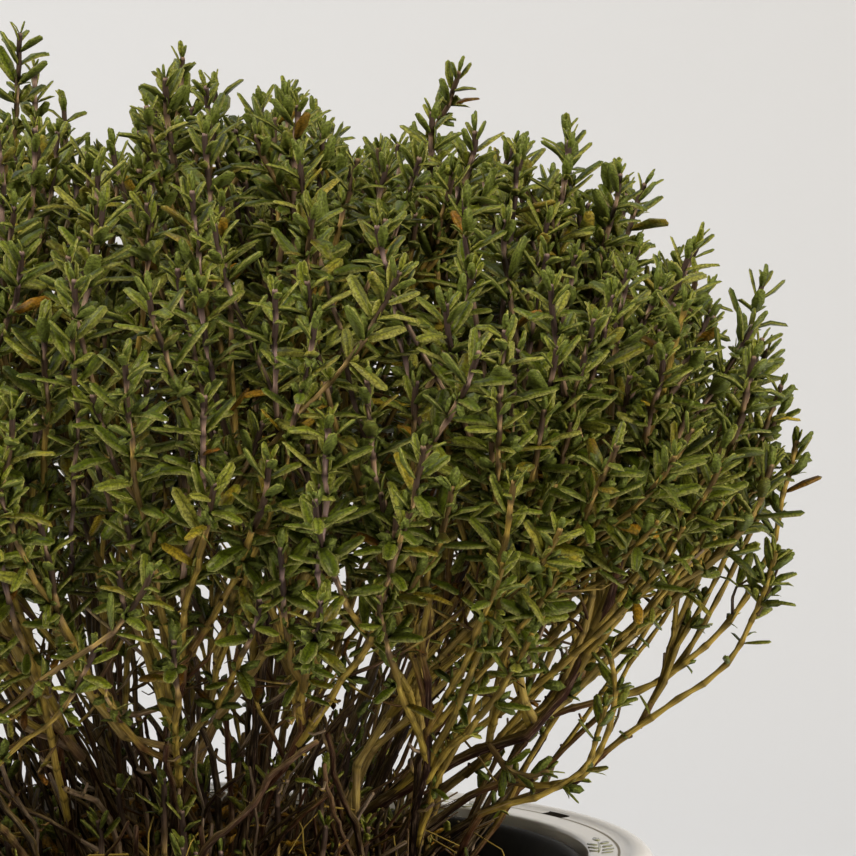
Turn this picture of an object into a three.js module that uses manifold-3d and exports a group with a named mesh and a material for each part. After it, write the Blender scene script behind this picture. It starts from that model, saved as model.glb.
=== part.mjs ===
// Potted thyme at life size, in millimetres. A bush of thyme is rooted in the soil of a
// plastic nursery pot, and the nursery pot stands inside a glazed cover pot. +Z is up. The
// origin is the centre of the cover pot's flat base, and both pots turn round the Z axis.
//
// The bush fills an ellipsoid that rests on the rim. Each stem rises from its own place in
// the soil, leans out over the rim and turns up to a tip on that ellipsoid. The stems at
// the front and right follow routes of their own, and a rule places all the others.

import * as THREE from "three";
import { mergeVertices } from "three/addons/utils/BufferGeometryUtils.js";
import Module from "manifold-3d";

const wasm = await Module();
wasm.setup();

const degrees = THREE.MathUtils.degToRad;
const { lerp } = THREE.MathUtils;

// ---------- driving dimensions ----------

const fitGap = 0.3; // left between pieces that touch
const lathedSides = 48;

const coverPot = {
  height: 131,
  rimRadius: 80,
  rollRadius: 3, // the rounded bead round the rim
  neckRadius: 73.8,
  baseRadius: 55,
  footChamfer: 2.5,
  openingRadius: 68,
  ledgeDrop: 0.7, // from the top of the bead down to the flat ledge inside it
  edgeBreak: 0.6, // where the ledge turns down into the pot
  floor: 9,
  floorRadius: 50,
};

const nurseryPot = {
  height: 119.4,
  wall: 1.2,
  topRadius: 65.6, // inside, at the top
  bottomRadius: 44.6, // inside, on its floor
  lipRadius: 67.2,
  lipHeight: 8,
  drainHoles: 6,
  drainHoleRadius: 4,
  drainHoleCircle: 32,
};

const soil = {
  depth: 99.6, // at the wall
  mound: 6, // how much higher it is in the middle
};

const bush = {
  level: coverPot.height - 3, // just below the rim, where the plant's heights start
  radius: 104,
  halfHeight: 71,
  centreHeight: 75, // above that level
  ruledStems: 29, // places that the rule counts round the whole bush
  lowestPolar: degrees(112), // polar angle of the lowest tips, from straight up
  rootCircle: 42,
  rootLean: degrees(49), // of the outermost stems, where they leave the soil
  rootDepth: 7,
  turn: degrees(137.508), // from one place to the next round the pot
  firstAzimuth: degrees(20),
};

// The part of the bush that the shaped stems fill, where the rule places no low ones.
const shapedSector = {
  from: degrees(-130),
  to: degrees(14),
  abovePolar: degrees(46),
};

const stemForm = {
  rootWidth: 4,
  middleWidth: 2.1,
  tipWidth: 1.3,
  forkWidth: 1.7,
  stepLength: 13,
  forkStarts: [0.47, 0.56], // share of the stem's length
  forkSpread: degrees(15), // on the bush, between a stem's tip and its forks' tips
};

const leafForm = {
  length: 8,
  width: 3,
  thickness: 1.2,
  pairs: 2,
  endClearance: 2,
  topAngle: degrees(28), // off the stem, for the pair at the tip
  openAngle: degrees(58), // and for the pairs below it
};

// Stems with routes of their own, as [x, y, height above the level], from root to tip.
// Each fork starts on its stem.
const shapedStems = [
  {
    name: "old_leaning",
    route: [
      [8, -8, -20], [22, -14, 6], [40, -22, 19], [58, -31, 29],
      [67, -37, 43], [72, -42, 60], [78, -48, 86], [82, -50, 101],
    ],
    forks: [
      [[72, -42, 60], [84, -41, 69], [91, -40, 80], [94, -40, 92]],
      [[57, -30, 28], [55, -36, 36], [53, -45, 51], [52, -54, 65], [53, -61, 80], [54, -63, 94]],
    ],
  },
  {
    name: "low_hooked",
    route: [
      [20, -18, -18], [34, -22, 4], [45, -24, 14], [54, -27, 19], [60, -30, 18],
      [66, -33, 20], [69, -35, 25], [71, -37, 33], [70, -38, 42],
    ],
    forks: [],
  },
  {
    name: "low_right",
    route: [
      [28, -1, -18], [38, -7, 2], [52, -13, 12], [64, -17, 17],
      [76, -21, 27], [90, -24, 38], [97, -26, 50], [99, -27, 58],
    ],
    forks: [[[76, -21, 27], [82, -15, 39], [86, -12, 52], [88, -10, 66]]],
  },
  {
    name: "outer_right",
    route: [
      [20, 7, -18], [36, 3, 8], [56, -2, 23], [70, -5, 30],
      [81, -7, 34], [90, -9, 41], [98, -11, 54], [101, -12, 63],
      [104, -12, 76],
    ],
    forks: [[[56, -2, 23], [68, 6, 38], [76, 9, 58], [80, 9, 82], [82, 8, 104]]],
  },
  {
    name: "low_drooping",
    route: [
      [38, -20, -18], [42, -26, -4], [46, -32, 8], [51, -36, 16],
      [57, -40, 18], [63, -42, 20], [67, -44, 25], [69, -47, 34],
    ],
    forks: [],
  },
  {
    name: "front_right",
    route: [
      [32, -30, -19], [38, -40, 14], [39, -50, 28], [39, -64, 53],
      [36, -73, 64], [31, -80, 76], [30, -84, 90],
    ],
    forks: [[[39, -50, 28], [46, -64, 45], [51, -74, 60], [53, -80, 74]]],
  },
  {
    name: "front_middle",
    route: [
      [4, -22, -17], [8, -31, 8], [12, -41, 20], [18, -50, 28],
      [20, -61, 40], [22, -73, 53], [23, -84, 68], [24, -90, 84],
    ],
    forks: [[[18, -50, 28], [26, -62, 40], [32, -74, 53], [35, -85, 70]]],
  },
  {
    name: "front_upright",
    route: [
      [-6, -26, -17], [-4, -34, 8], [-2, -47, 24], [-1, -62, 42],
      [1, -74, 56], [4, -86, 72], [5, -92, 88],
    ],
    forks: [
      [[-2, -47, 24], [-10, -58, 31], [-14, -67, 41], [-19, -78, 53], [-21, -86, 68]],
      [[-1, -62, 42], [9, -77, 58], [13, -87, 68], [15, -92, 78]],
    ],
  },
  {
    name: "front_left",
    route: [
      [-20, -24, -18], [-22, -34, 14], [-22, -42, 28], [-25, -50, 39],
      [-28, -60, 52], [-31, -71, 70], [-32, -78, 88],
    ],
    forks: [[[-22, -42, 28], [-33, -50, 36], [-42, -60, 50], [-48, -70, 66]]],
  },
];

// ---------- materials ----------

const finish = (color, roughness) =>
  new THREE.MeshStandardMaterial({ color, roughness, metalness: 0 });
const glaze = () => finish(0xdedcd8, 0.15);
const blackPlastic = () => finish(0x1c1917, 0.7);
const compost = () => finish(0x2e2119, 0.95);
const foliage = () => finish(0x48602e, 0.7);

// ---------- solids ----------

// A closed geometry as a manifold-3d solid, with only its shared corners kept.
function solidOf(geometry) {
  const bare = geometry.clone();
  bare.deleteAttribute("normal");
  bare.deleteAttribute("uv");
  const merged = mergeVertices(bare, 1e-4);
  return new wasm.Manifold(
    new wasm.Mesh({
      numProp: 3,
      vertProperties: new Float32Array(merged.attributes.position.array),
      triVerts: new Uint32Array(merged.index.array),
    }),
  );
}

// A solid back as a named mesh.
function pieceOf(name, solid, material) {
  const { vertProperties, triVerts } = solid.getMesh();
  const geometry = new THREE.BufferGeometry()
    .setAttribute("position", new THREE.BufferAttribute(vertProperties, 3))
    .setIndex(new THREE.BufferAttribute(triVerts, 1));
  geometry.computeVertexNormals();
  const mesh = new THREE.Mesh(geometry, material);
  mesh.name = name;
  return mesh;
}

// A profile of radius and height, turned round the Z axis.
function lathed(profile, roundSteps) {
  const geometry = new THREE.LatheGeometry(profile.getPoints(roundSteps), lathedSides);
  geometry.rotateX(Math.PI / 2);
  return solidOf(geometry);
}

// A tube with four sides along a curve, whose width follows the share of its length.
function taperedTube(curve, width, steps) {
  const square = new THREE.Shape([
    new THREE.Vector2(0.5, 0),
    new THREE.Vector2(0, 0.5),
    new THREE.Vector2(-0.5, 0),
    new THREE.Vector2(0, -0.5),
  ]);
  const tube = new THREE.ExtrudeGeometry(square, { steps, extrudePath: curve });
  const centres = curve.getSpacedPoints(steps);
  const corner = new THREE.Vector3();
  const corners = tube.attributes.position;
  for (let k = 0; k < corners.count; k++) {
    corner.fromBufferAttribute(corners, k);
    const distances = centres.map((centre) => centre.distanceTo(corner));
    const step = distances.indexOf(Math.min(...distances));
    const centre = centres[step];
    corner.sub(centre).multiplyScalar(width(step / steps)).add(centre);
    corners.setXYZ(k, corner.x, corner.y, corner.z);
  }
  return solidOf(tube);
}

// ---------- the two pots and the soil ----------

function coverPotSolid() {
  const p = coverPot;
  const rollX = p.rimRadius - p.rollRadius;
  const rollY = p.height - p.rollRadius;
  const ledge = p.height - p.ledgeDrop;
  const ledgeAngle = Math.PI - Math.asin((ledge - rollY) / p.rollRadius);
  const profile = new THREE.Path();
  profile.moveTo(0, 0);
  profile.lineTo(p.baseRadius - p.footChamfer, 0);
  profile.lineTo(p.baseRadius, p.footChamfer);
  profile.bezierCurveTo(
    lerp(p.baseRadius, p.neckRadius, 0.5), p.height * 0.28,
    p.neckRadius - 2, p.height * 0.6,
    p.neckRadius, p.height - 3 * p.rollRadius,
  );
  profile.absarc(rollX, rollY, p.rollRadius, degrees(-80), ledgeAngle);
  profile.lineTo(p.openingRadius + p.edgeBreak, ledge);
  profile.lineTo(p.openingRadius, ledge - p.edgeBreak);
  profile.lineTo(p.openingRadius, p.height * 0.88);
  profile.lineTo(p.floorRadius, p.floor);
  profile.lineTo(0, p.floor);
  return lathed(profile, 4);
}

// Inside radius of the nursery pot at a height above its own base.
const nurseryInside = (height) =>
  lerp(
    nurseryPot.bottomRadius,
    nurseryPot.topRadius,
    (height - nurseryPot.wall) / (nurseryPot.height - nurseryPot.wall),
  );

function nurseryPotSolid() {
  const p = nurseryPot;
  const lipFoot = p.height - p.lipHeight;
  const profile = new THREE.Path();
  profile.moveTo(0, 0);
  profile.lineTo(p.bottomRadius + p.wall, 0);
  profile.lineTo(nurseryInside(lipFoot) + p.wall, lipFoot);
  profile.lineTo(p.lipRadius, lipFoot + p.wall);
  profile.lineTo(p.lipRadius, p.height);
  profile.lineTo(p.topRadius, p.height);
  profile.lineTo(p.bottomRadius, p.wall);
  profile.lineTo(0, p.wall);
  let pot = lathed(profile, 1);
  for (let hole = 0; hole < p.drainHoles; hole++) {
    const angle = (hole / p.drainHoles) * 2 * Math.PI;
    const drill = new THREE.CylinderGeometry(p.drainHoleRadius, p.drainHoleRadius, 4 * p.wall, 8)
      .rotateX(Math.PI / 2)
      .translate(Math.cos(angle) * p.drainHoleCircle, Math.sin(angle) * p.drainHoleCircle, 0);
    pot = pot.subtract(solidOf(drill));
  }
  return pot;
}

const soilWallHeight = nurseryPot.wall + soil.depth; // above the nursery pot's base
const soilRadius = nurseryInside(soilWallHeight) - fitGap;

// Height of the soil above the ground, at a distance from the axis.
const soilSurface = (radius) =>
  coverPot.floor + soilWallHeight + soil.mound * (1 - (radius / soilRadius) ** 2);

function soilSolid() {
  const profile = new THREE.Path();
  profile.moveTo(0, nurseryPot.wall);
  profile.lineTo(nurseryPot.bottomRadius - fitGap, nurseryPot.wall);
  profile.lineTo(soilRadius, soilWallHeight);
  profile.quadraticCurveTo(
    soilRadius / 2, soilWallHeight + soil.mound, // the parabola of soilSurface
    0, soilWallHeight + soil.mound,
  );
  return lathed(profile, 3);
}

// ---------- how the bush grows ----------

// A repeatable scatter from -1 to 1 for stem i and trait k.
function scatter(i, k) {
  const wave = Math.sin(i * 12.9898 + k * 78.233 + 4.1) * 43758.5453;
  return 2 * (wave - Math.floor(wave)) - 1;
}

// The direction that leans by an angle from straight up, towards an azimuth.
const leaning = (lean, azimuth) =>
  new THREE.Vector3(
    Math.sin(lean) * Math.cos(azimuth),
    Math.sin(lean) * Math.sin(azimuth),
    Math.cos(lean),
  );

// A point on the bush's ellipsoid, or inside it at a share under 1.
const onBush = (polar, azimuth, share) =>
  leaning(polar, azimuth)
    .multiply(new THREE.Vector3(bush.radius, bush.radius, bush.halfHeight))
    .multiplyScalar(share)
    .add(new THREE.Vector3(0, 0, bush.level + bush.centreHeight));

// A growing line from one point to another, with the directions that it leaves and ends in.
function growth(start, startWay, end, endWay) {
  const reach = start.distanceTo(end);
  return new THREE.CubicBezierCurve3(
    start,
    start.clone().addScaledVector(startWay, reach * 0.43),
    end.clone().addScaledVector(endWay, -reach * 0.35),
    end,
  );
}

// The place on the bush that the rule gives to number i, counted from the top down.
function placeOf(i) {
  const share = (i + 0.5) / bush.ruledStems;
  const polar = Math.acos(1 - share * (1 - Math.cos(bush.lowestPolar)));
  const azimuth = bush.firstAzimuth + i * bush.turn + 0.08 * scatter(i, 2);
  return {
    polar: polar + 0.05 * scatter(i, 1),
    azimuth: Math.atan2(Math.sin(azimuth), Math.cos(azimuth)),
    outward: polar / bush.lowestPolar, // 0 at the top of the bush, 1 at its lowest tips
    share: 0.975 + 0.025 * scatter(i, 3),
  };
}

const isShaped = ({ polar, azimuth }) =>
  polar > shapedSector.abovePolar &&
  azimuth > shapedSector.from &&
  azimuth < shapedSector.to;

// The main line of the stem at a place, and its two forks' lines.
function ruledLines(place) {
  const rootRadius = bush.rootCircle * place.outward ** 0.8;
  const root = new THREE.Vector3(
    rootRadius * Math.cos(place.azimuth),
    rootRadius * Math.sin(place.azimuth),
    soilSurface(rootRadius) - bush.rootDepth,
  );
  const stem = growth(
    root,
    leaning(bush.rootLean * place.outward, place.azimuth),
    onBush(place.polar, place.azimuth, place.share),
    leaning(degrees(20) * Math.sin(place.polar) ** 2, place.azimuth),
  );
  const forks = [-1, 1].map((side, k) => {
    const from = stem.getPointAt(stemForm.forkStarts[k]);
    const polar = place.polar + side * stemForm.forkSpread * 0.6;
    const roundwards = stemForm.forkSpread / Math.max(Math.sin(place.polar), 0.4);
    const azimuth = place.azimuth + side * roundwards;
    const tip = onBush(polar, azimuth, place.share * 0.97);
    const way = stem
      .getTangentAt(stemForm.forkStarts[k])
      .lerp(tip.clone().sub(from).normalize(), 0.75)
      .normalize();
    return growth(from, way, tip, leaning(degrees(16) * Math.sin(polar) ** 2, azimuth));
  });
  return { stem, forks };
}

// The lines of a stem with a route of its own.
function shapedLines({ route, forks }) {
  const line = (points) =>
    new THREE.CatmullRomCurve3(
      points.map(([x, y, height]) => new THREE.Vector3(x, y, bush.level + height)),
    );
  return { stem: line(route), forks: forks.map(line) };
}

// ---------- room between neighbours ----------

// Stems and leaves are also kept as rows of beads, to test each new one against the
// stems and leaves that are there already.
const beads = [];

function rowOfBeads(curve, width) {
  const count = Math.ceil(curve.getLength() / 1.5);
  return Array.from({ length: count + 1 }, (_, k) => ({
    at: curve.getPointAt(k / count),
    radius: width(k / count) / 2,
  }));
}

const isClearOfPots = ({ at, radius }) =>
  at.z - radius > coverPot.height + fitGap ||
  Math.hypot(at.x, at.y) + radius < nurseryInside(at.z - coverPot.floor) - fitGap;

const hasRoom = (owner, row) =>
  row.every(({ at, radius }) =>
    beads.every(
      (other) =>
        other.owner === owner || other.at.distanceTo(at) > other.radius + radius + fitGap,
    ),
  );

function keep(owner, row) {
  for (const bead of row) beads.push({ owner, ...bead });
}

function keepIfRoom(owner, row) {
  const room = row.every(isClearOfPots) && hasRoom(owner, row);
  if (room) keep(owner, row);
  return room;
}

// ---------- stems with their leaves ----------

const stemWidth = (t) =>
  t < 0.5
    ? lerp(stemForm.rootWidth, stemForm.middleWidth, t * 2)
    : lerp(stemForm.middleWidth, stemForm.tipWidth, t * 2 - 1);
const forkWidth = (t) => lerp(stemForm.forkWidth, stemForm.tipWidth, t);

// A leaf from a point on the stem, in a direction, as a pointed solid and as beads.
function leafAt(from, way) {
  const f = leafForm;
  const middle = from.clone().addScaledVector(way, f.length / 2);
  const aim = new THREE.Quaternion().setFromUnitVectors(new THREE.Vector3(1, 0, 0), way);
  const geometry = new THREE.OctahedronGeometry(1)
    .scale(f.length / 2, f.width / 2, f.thickness / 2)
    .applyQuaternion(aim)
    .translate(middle.x, middle.y, middle.z);
  const tip = from.clone().addScaledVector(way, f.length);
  const row = rowOfBeads(new THREE.LineCurve3(from, tip), () => f.width);
  return { geometry, row };
}

// Pairs of leaves down a line from its tip, where the tube's steps meet. Each pair crosses
// the one above it.
function leavesOf(curve) {
  const f = leafForm;
  const leaves = [];
  for (let pair = 0; pair < f.pairs; pair++) {
    const t = pair === 0 ? 1 - f.endClearance / curve.getLength() : 1 - pair / stepsOf(curve);
    const along = curve.getTangentAt(t);
    const across = new THREE.Vector3(0, 0, 1).cross(along);
    if (across.length() < 0.05) across.set(1, 0, 0);
    across.normalize().applyAxisAngle(along, pair * (Math.PI / 2) + Math.PI / 4);
    const angle = pair === 0 ? f.topAngle : f.openAngle;
    for (const side of [-1, 1]) {
      const way = along
        .clone()
        .multiplyScalar(Math.cos(angle))
        .addScaledVector(across, side * Math.sin(angle));
      leaves.push(leafAt(curve.getPointAt(t), way));
    }
  }
  return leaves;
}

const stepsOf = (curve) => Math.max(3, Math.round(curve.getLength() / stemForm.stepLength));

// The stem's own line first, so that forks and leaves give way to every stem.
const stems = [];
const ruledPlaces = Array.from({ length: bush.ruledStems }, (_, i) => placeOf(i)).filter(
  (place) => !isShaped(place),
);
for (const shaped of shapedStems) {
  stems.push({ name: `stem_${shaped.name}`, ...shapedLines(shaped) });
}
ruledPlaces.forEach((place, k) => {
  stems.push({ name: `stem_${String(k + 1).padStart(2, "0")}`, ...ruledLines(place) });
});
for (const { name, stem } of stems) keep(name, rowOfBeads(stem, stemWidth));
for (const each of stems) {
  each.forks = each.forks.filter((fork) => keepIfRoom(each.name, rowOfBeads(fork, forkWidth)));
}

function stemSolid({ name, stem, forks }) {
  let solid = taperedTube(stem, stemWidth, stepsOf(stem));
  for (const fork of forks) {
    solid = solid.add(taperedTube(fork, forkWidth, stepsOf(fork)));
  }
  for (const curve of [stem, ...forks]) {
    for (const { geometry, row } of leavesOf(curve)) {
      if (keepIfRoom(name, row)) solid = solid.add(solidOf(geometry));
    }
  }
  return solid;
}

// ---------- the whole object ----------

const group = new THREE.Group();
group.add(pieceOf("cover_pot", coverPotSolid(), glaze()));

const planting = new THREE.Group();
planting.position.z = coverPot.floor;
planting.add(pieceOf("nursery_pot", nurseryPotSolid(), blackPlastic()));
group.add(planting);

let ground = soilSolid().translate([0, 0, coverPot.floor]);
for (const { stem } of stems) {
  const socket = taperedTube(stem, (t) => stemWidth(t) + 2 * fitGap, stepsOf(stem));
  ground = ground.subtract(socket);
}
group.add(pieceOf("potting_soil", ground, compost()));

for (const each of stems) {
  group.add(pieceOf(each.name, stemSolid(each), foliage()));
}

export default group;
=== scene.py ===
# Potted thyme: a bush of thyme rooted in a plastic nursery pot, inside a glazed stoneware cover pot.
# Lengths are in millimetres until makePiece turns them to metres.
import bpy
import math
import numpy as np
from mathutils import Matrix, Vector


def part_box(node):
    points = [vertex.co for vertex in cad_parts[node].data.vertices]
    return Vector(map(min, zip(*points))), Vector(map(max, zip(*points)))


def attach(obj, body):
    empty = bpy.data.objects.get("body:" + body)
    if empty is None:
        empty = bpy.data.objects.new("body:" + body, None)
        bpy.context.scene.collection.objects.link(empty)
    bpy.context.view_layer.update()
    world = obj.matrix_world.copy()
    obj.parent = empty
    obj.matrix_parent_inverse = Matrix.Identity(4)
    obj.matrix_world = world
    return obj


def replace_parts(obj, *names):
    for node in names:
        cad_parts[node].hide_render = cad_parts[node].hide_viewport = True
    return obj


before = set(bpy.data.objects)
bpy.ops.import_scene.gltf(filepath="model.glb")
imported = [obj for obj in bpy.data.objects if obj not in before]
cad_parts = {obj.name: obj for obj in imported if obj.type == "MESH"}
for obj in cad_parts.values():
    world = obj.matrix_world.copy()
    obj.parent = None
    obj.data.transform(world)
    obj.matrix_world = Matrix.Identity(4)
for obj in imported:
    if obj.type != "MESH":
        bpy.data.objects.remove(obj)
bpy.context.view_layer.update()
print("stage: frame loaded,", len(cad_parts), "nodes")

mm = 0.001
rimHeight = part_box("cover_pot")[1][2] / mm
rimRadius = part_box("cover_pot")[1][0] / mm
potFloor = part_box("nursery_pot")[0][2] / mm
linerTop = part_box("nursery_pot")[1][2] / mm
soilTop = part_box("potting_soil")[1][2] / mm
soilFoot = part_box("potting_soil")[0][2] / mm
level = linerTop - 0.4  # heights of the plant are counted from here
anyTurn = 6.28  # a whole turn, for random draws

# camera, level with the leaves and square to the front, with a long lens
view = {
    "distance": 700, "right": 39.5, "above": 118, "pitchDown": 3.3, "lens": 166, "sensor": 36, "end": 20000,
}
camera = bpy.data.objects.new("camera", bpy.data.cameras.new("camera"))
camera.location = (view["right"] * mm, -view["distance"] * mm, (level + view["above"]) * mm)
camera.rotation_euler = (math.radians(90 - view["pitchDown"]), 0, 0)
camera.data.lens = view["lens"]
camera.data.sensor_width = view["sensor"]
camera.data.clip_end = view["end"] * mm
bpy.context.scene.collection.objects.link(camera)
bpy.context.scene.camera = camera


def linear(hexCode):
    channels = [int(hexCode[i:i + 2], 16) / 255 for i in (1, 3, 5)]
    return tuple(c / 12.92 if c <= 0.04045 else ((c + 0.055) / 1.055) ** 2.4 for c in channels) + (1.0,)


def newMaterial(name, values):
    # values go to the sockets of its shader
    material = bpy.data.materials.new(name)
    material.use_nodes = True
    tree = material.node_tree
    shader = tree.nodes["Principled BSDF"]
    for socket, value in values.items():
        shader.inputs[socket].default_value = value
    return material, tree, shader


def join(tree, node, links):
    # what feeds a socket is another socket, or a node and so its main output
    for key, source in links.items():
        if hasattr(source, "outputs"):
            main = {"ShaderNodeAttribute": "Fac", "ShaderNodeMix": 2}.get(source.bl_idname, 0)
            source = source.outputs[main]
        tree.links.new(source, node.inputs[key])


def add(tree, kind, settings=None, links=None):
    # settings are the node's attributes, the values of its sockets or the stops of its ramp
    node = tree.nodes.new("ShaderNode" + kind)
    for key, value in (settings or {}).items():
        if key == "stops":
            for _ in value[2:]:
                node.color_ramp.elements.new(1.0)
            for element, (place, colour) in zip(node.color_ramp.elements, value):
                element.position = place
                element.color = linear(colour)
        elif isinstance(key, str) and hasattr(node, key):
            setattr(node, key, value)
        else:
            node.inputs[key].default_value = value
    join(tree, node, links or {})
    return node


# the sockets of a colour mix
share, under, over = 0, 6, 7
blend = {"data_type": "RGBA"}
multiply = {**blend, "blend_type": "MULTIPLY"}

# what each leaf and each piece of wood carries for its material
leafTraits = ("leafTone", "leafYoung", "leafDry", "leafUnder", "leafEdge", "leafVein")
woodTraits = ("stemAge", "stemScar", "stemDead", "stemUp")

leafFinish = {
    # thyme leaf: matt and downy, dark olive above, yellower below; the groove is darkened as painted shade,
    # and the rolled margin is paler, partly its own yellower colour and partly a painted highlight
    "tops": [(0.0, "#3f4b0b"), (0.4, "#536212"), (0.75, "#6a761c"), (1.0, "#8c8d38")],
    "young": "#80862a", "margin": "#bab870", "below": "#6b7834", "vein": "#2c3a10",
    "dry": [(0.0, "#54330f"), (0.3, "#845716"), (0.6, "#ab8020"), (1.0, "#bca42e")],
    # the groove and the margin are thin lines, the thinner the higher their power
    "veinPower": 3.0, "marginPower": 2.2, "lineShare": 0.75,
    # hairs and oil glands of the down, really 0.1 mm and drawn coarser to show, and the patches that dry
    "downMm": 0.42, "downDepth": 0.16, "speckles": [(0.4, "#585640"), (0.6, "#ffffff")], "speckled": 0.62,
    "patchMm": 2.4, "roughness": 0.4, "specular": 0.26, "shine": "#f8f0cc", "sheen": 0.02, "soft": "#dfe2b8",
}


def leafMaterial():
    f = leafFinish
    material, tree, shader = newMaterial("thyme leaf, downy", {
        "Roughness": f["roughness"], "Specular IOR Level": f["specular"], "Specular Tint": linear(f["shine"]),
        "Sheen Weight": f["sheen"], "Sheen Roughness": 0.5, "Sheen Tint": linear(f["soft"])})
    place = add(tree, "TexCoord").outputs["Object"]
    trait = {name: add(tree, "Attribute", {"attribute_name": name}) for name in leafTraits}
    down, patch = (add(tree, "TexNoise", {"Scale": 1 / (f[size] * mm), "Detail": 2.0}, {"Vector": place})
                   for size in ("downMm", "patchMm"))
    masks = {"young": trait["leafYoung"]}
    # painted shade along the groove, and along the margin its own paler colour with a painted highlight
    for tint, name in (("vein", "leafVein"), ("margin", "leafEdge")):
        line = add(tree, "Math", {"operation": "POWER", 1: f[tint + "Power"]}, {0: trait[name]})
        masks[tint] = add(tree, "Math", {"operation": "MULTIPLY", 1: f["lineShare"]}, {0: line})
    masks["below"] = trait["leafUnder"]
    colour = add(tree, "ValToRGB", {"stops": f["tops"]}, {0: trait["leafTone"]})
    for tint, mask in masks.items():
        colour = add(tree, "Mix", {**blend, over: linear(f[tint])}, {share: mask, under: colour})
    spread = add(tree, "Math", {"operation": "MULTIPLY_ADD", 1: 3.2, 2: -1.35}, {0: patch})
    spread = add(tree, "Math", {"operation": "ADD", "use_clamp": True}, {0: spread, 1: trait["leafDry"]})
    dried = add(tree, "Math", {"operation": "MULTIPLY", "use_clamp": True}, {0: spread, 1: trait["leafDry"]})
    dry = add(tree, "ValToRGB", {"stops": f["dry"]}, {0: trait["leafTone"]})
    colour = add(tree, "Mix", blend, {share: dried, under: colour, over: dry})
    speckles = add(tree, "ValToRGB", {"stops": f["speckles"]}, {0: down})
    colour = add(tree, "Mix", {**multiply, share: f["speckled"]}, {under: colour, over: speckles})
    bump = add(tree, "Bump", {"Strength": 0.5, "Distance": f["downDepth"] * mm}, {"Height": down})
    join(tree, shader, {"Base Color": colour, "Normal": bump})
    return material


barkFinish = {
    # thyme wood: purple-grey in its first year, straw and olive in its second, then fissured red-brown; the
    # oldest ages are painted near black, darker than the bark's own colour, as painted shade for the dark
    # foot and inside of the bush
    "ages": [(0.0, "#b79ea0"), (0.15, "#b3987f"), (0.3, "#d2b65c"), (0.46, "#bdaa4c"), (0.6, "#7c5c36"),
             (0.74, "#4a281d"), (0.88, "#2a1610"), (1.0, "#180d09")],
    # a painted highlight in gold on the upper side, grey where dead, silvery on the ridges of old bark, dark
    # rings at the nodes
    "paintedTopLight": "#d8c878", "dead": "#b8aca0", "silver": "#988470", "ring": "#1f120b",
    "paintedTopLightShare": 0.4, "ringShare": 0.9, "streaks": [(0.32, "#241a14"), (0.5, "#b6a488"), (0.66, "#ffffff")],
    "fibreMm": 0.34, "fibreStretch": 14, "fissureDepth": 0.18, "patchMm": 3.5,
    "roughness": 0.6, "specular": 0.18,
}


def barkMaterial():
    f = barkFinish
    material, tree, shader = newMaterial("thyme bark, fibrous", {
        "Roughness": f["roughness"], "Specular IOR Level": f["specular"]})
    trait = {name: add(tree, "Attribute", {"attribute_name": name}) for name in woodTraits}
    run = add(tree, "UVMap", {"uv_map": "barkRun"})
    fine = 1 / (f["fibreMm"] * mm)
    squeezed = add(tree, "Mapping", {"Scale": (fine, fine / f["fibreStretch"], 1)}, {"Vector": run})
    fibre = add(tree, "TexNoise", {"Scale": 1.0, "Detail": 3.0, "Roughness": 0.65}, {"Vector": squeezed})
    place = add(tree, "TexCoord").outputs["Object"]
    patch = add(tree, "TexNoise", {"Scale": 1 / (f["patchMm"] * mm), "Detail": 3.0}, {"Vector": place})
    drift = add(tree, "Math", {"operation": "MULTIPLY_ADD", 1: 0.3, 2: -0.15}, {0: patch})
    age = add(tree, "Math", {"operation": "ADD", "use_clamp": True}, {0: drift, 1: trait["stemAge"]})
    # painted highlight: the side of a stem that faces up is mixed towards gold
    paintedTopLight = add(tree, "Math", {"operation": "MULTIPLY", 1: f["paintedTopLightShare"]}, {0: trait["stemUp"]})
    ridge = add(tree, "MapRange", {1: 0.52, 2: 0.72, 3: 0.0, 4: 0.7}, {0: fibre})
    silver = add(tree, "Math", {"operation": "MULTIPLY"}, {0: ridge, 1: age})
    colour = add(tree, "ValToRGB", {"stops": f["ages"]}, {0: age})
    for tint, mask in (("paintedTopLight", paintedTopLight), ("dead", trait["stemDead"]), ("silver", silver)):
        colour = add(tree, "Mix", {**blend, over: linear(f[tint])}, {share: mask, under: colour})
    streaks = add(tree, "ValToRGB", {"stops": f["streaks"]}, {0: fibre})
    worn = add(tree, "Math", {"operation": "MULTIPLY_ADD", 1: 0.55, 2: 0.4}, {0: age})
    colour = add(tree, "Mix", multiply, {share: worn, under: colour, over: streaks})
    ring = add(tree, "Math", {"operation": "MULTIPLY", 1: f["ringShare"]}, {0: trait["stemScar"]})
    colour = add(tree, "Mix", {**blend, over: linear(f["ring"])}, {share: ring, under: colour})
    bump = add(tree, "Bump", {"Strength": 0.8, "Distance": f["fissureDepth"] * mm}, {"Height": fibre})
    join(tree, shader, {"Base Color": colour, "Normal": bump})
    return material


glazeFinish = {
    # glazed stoneware: clear gloss over an off-white slip, with dashes in iron oxide under it, a thin grey
    # line round the rim where the ledge meets the roll, and the ledge painted a little greyer as painted
    # shade
    "white": "#f3f2f0", "warm": "#eae8e5", "ledge": "#ebeae7", "line": "#a5a198", "dash": "#2f2c28",
    "brush": "#6d7436", "worn": "#a9aa8c", "roughness": 0.1, "index": 1.5, "cloudMm": 18, "rippleDepth": 0.4,
    # middle radius and width of each ring, all within rimDepth of the rim's top
    "rings": {"ledge": (70.5, 6.4), "line": (73.6, 0.5), "dash": (74.5, 2.0)}, "rimDepth": 2.5,
    "dashes": 8, "firstDash": 31.4, "dashHalfAngle": 2.6,
}


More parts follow.
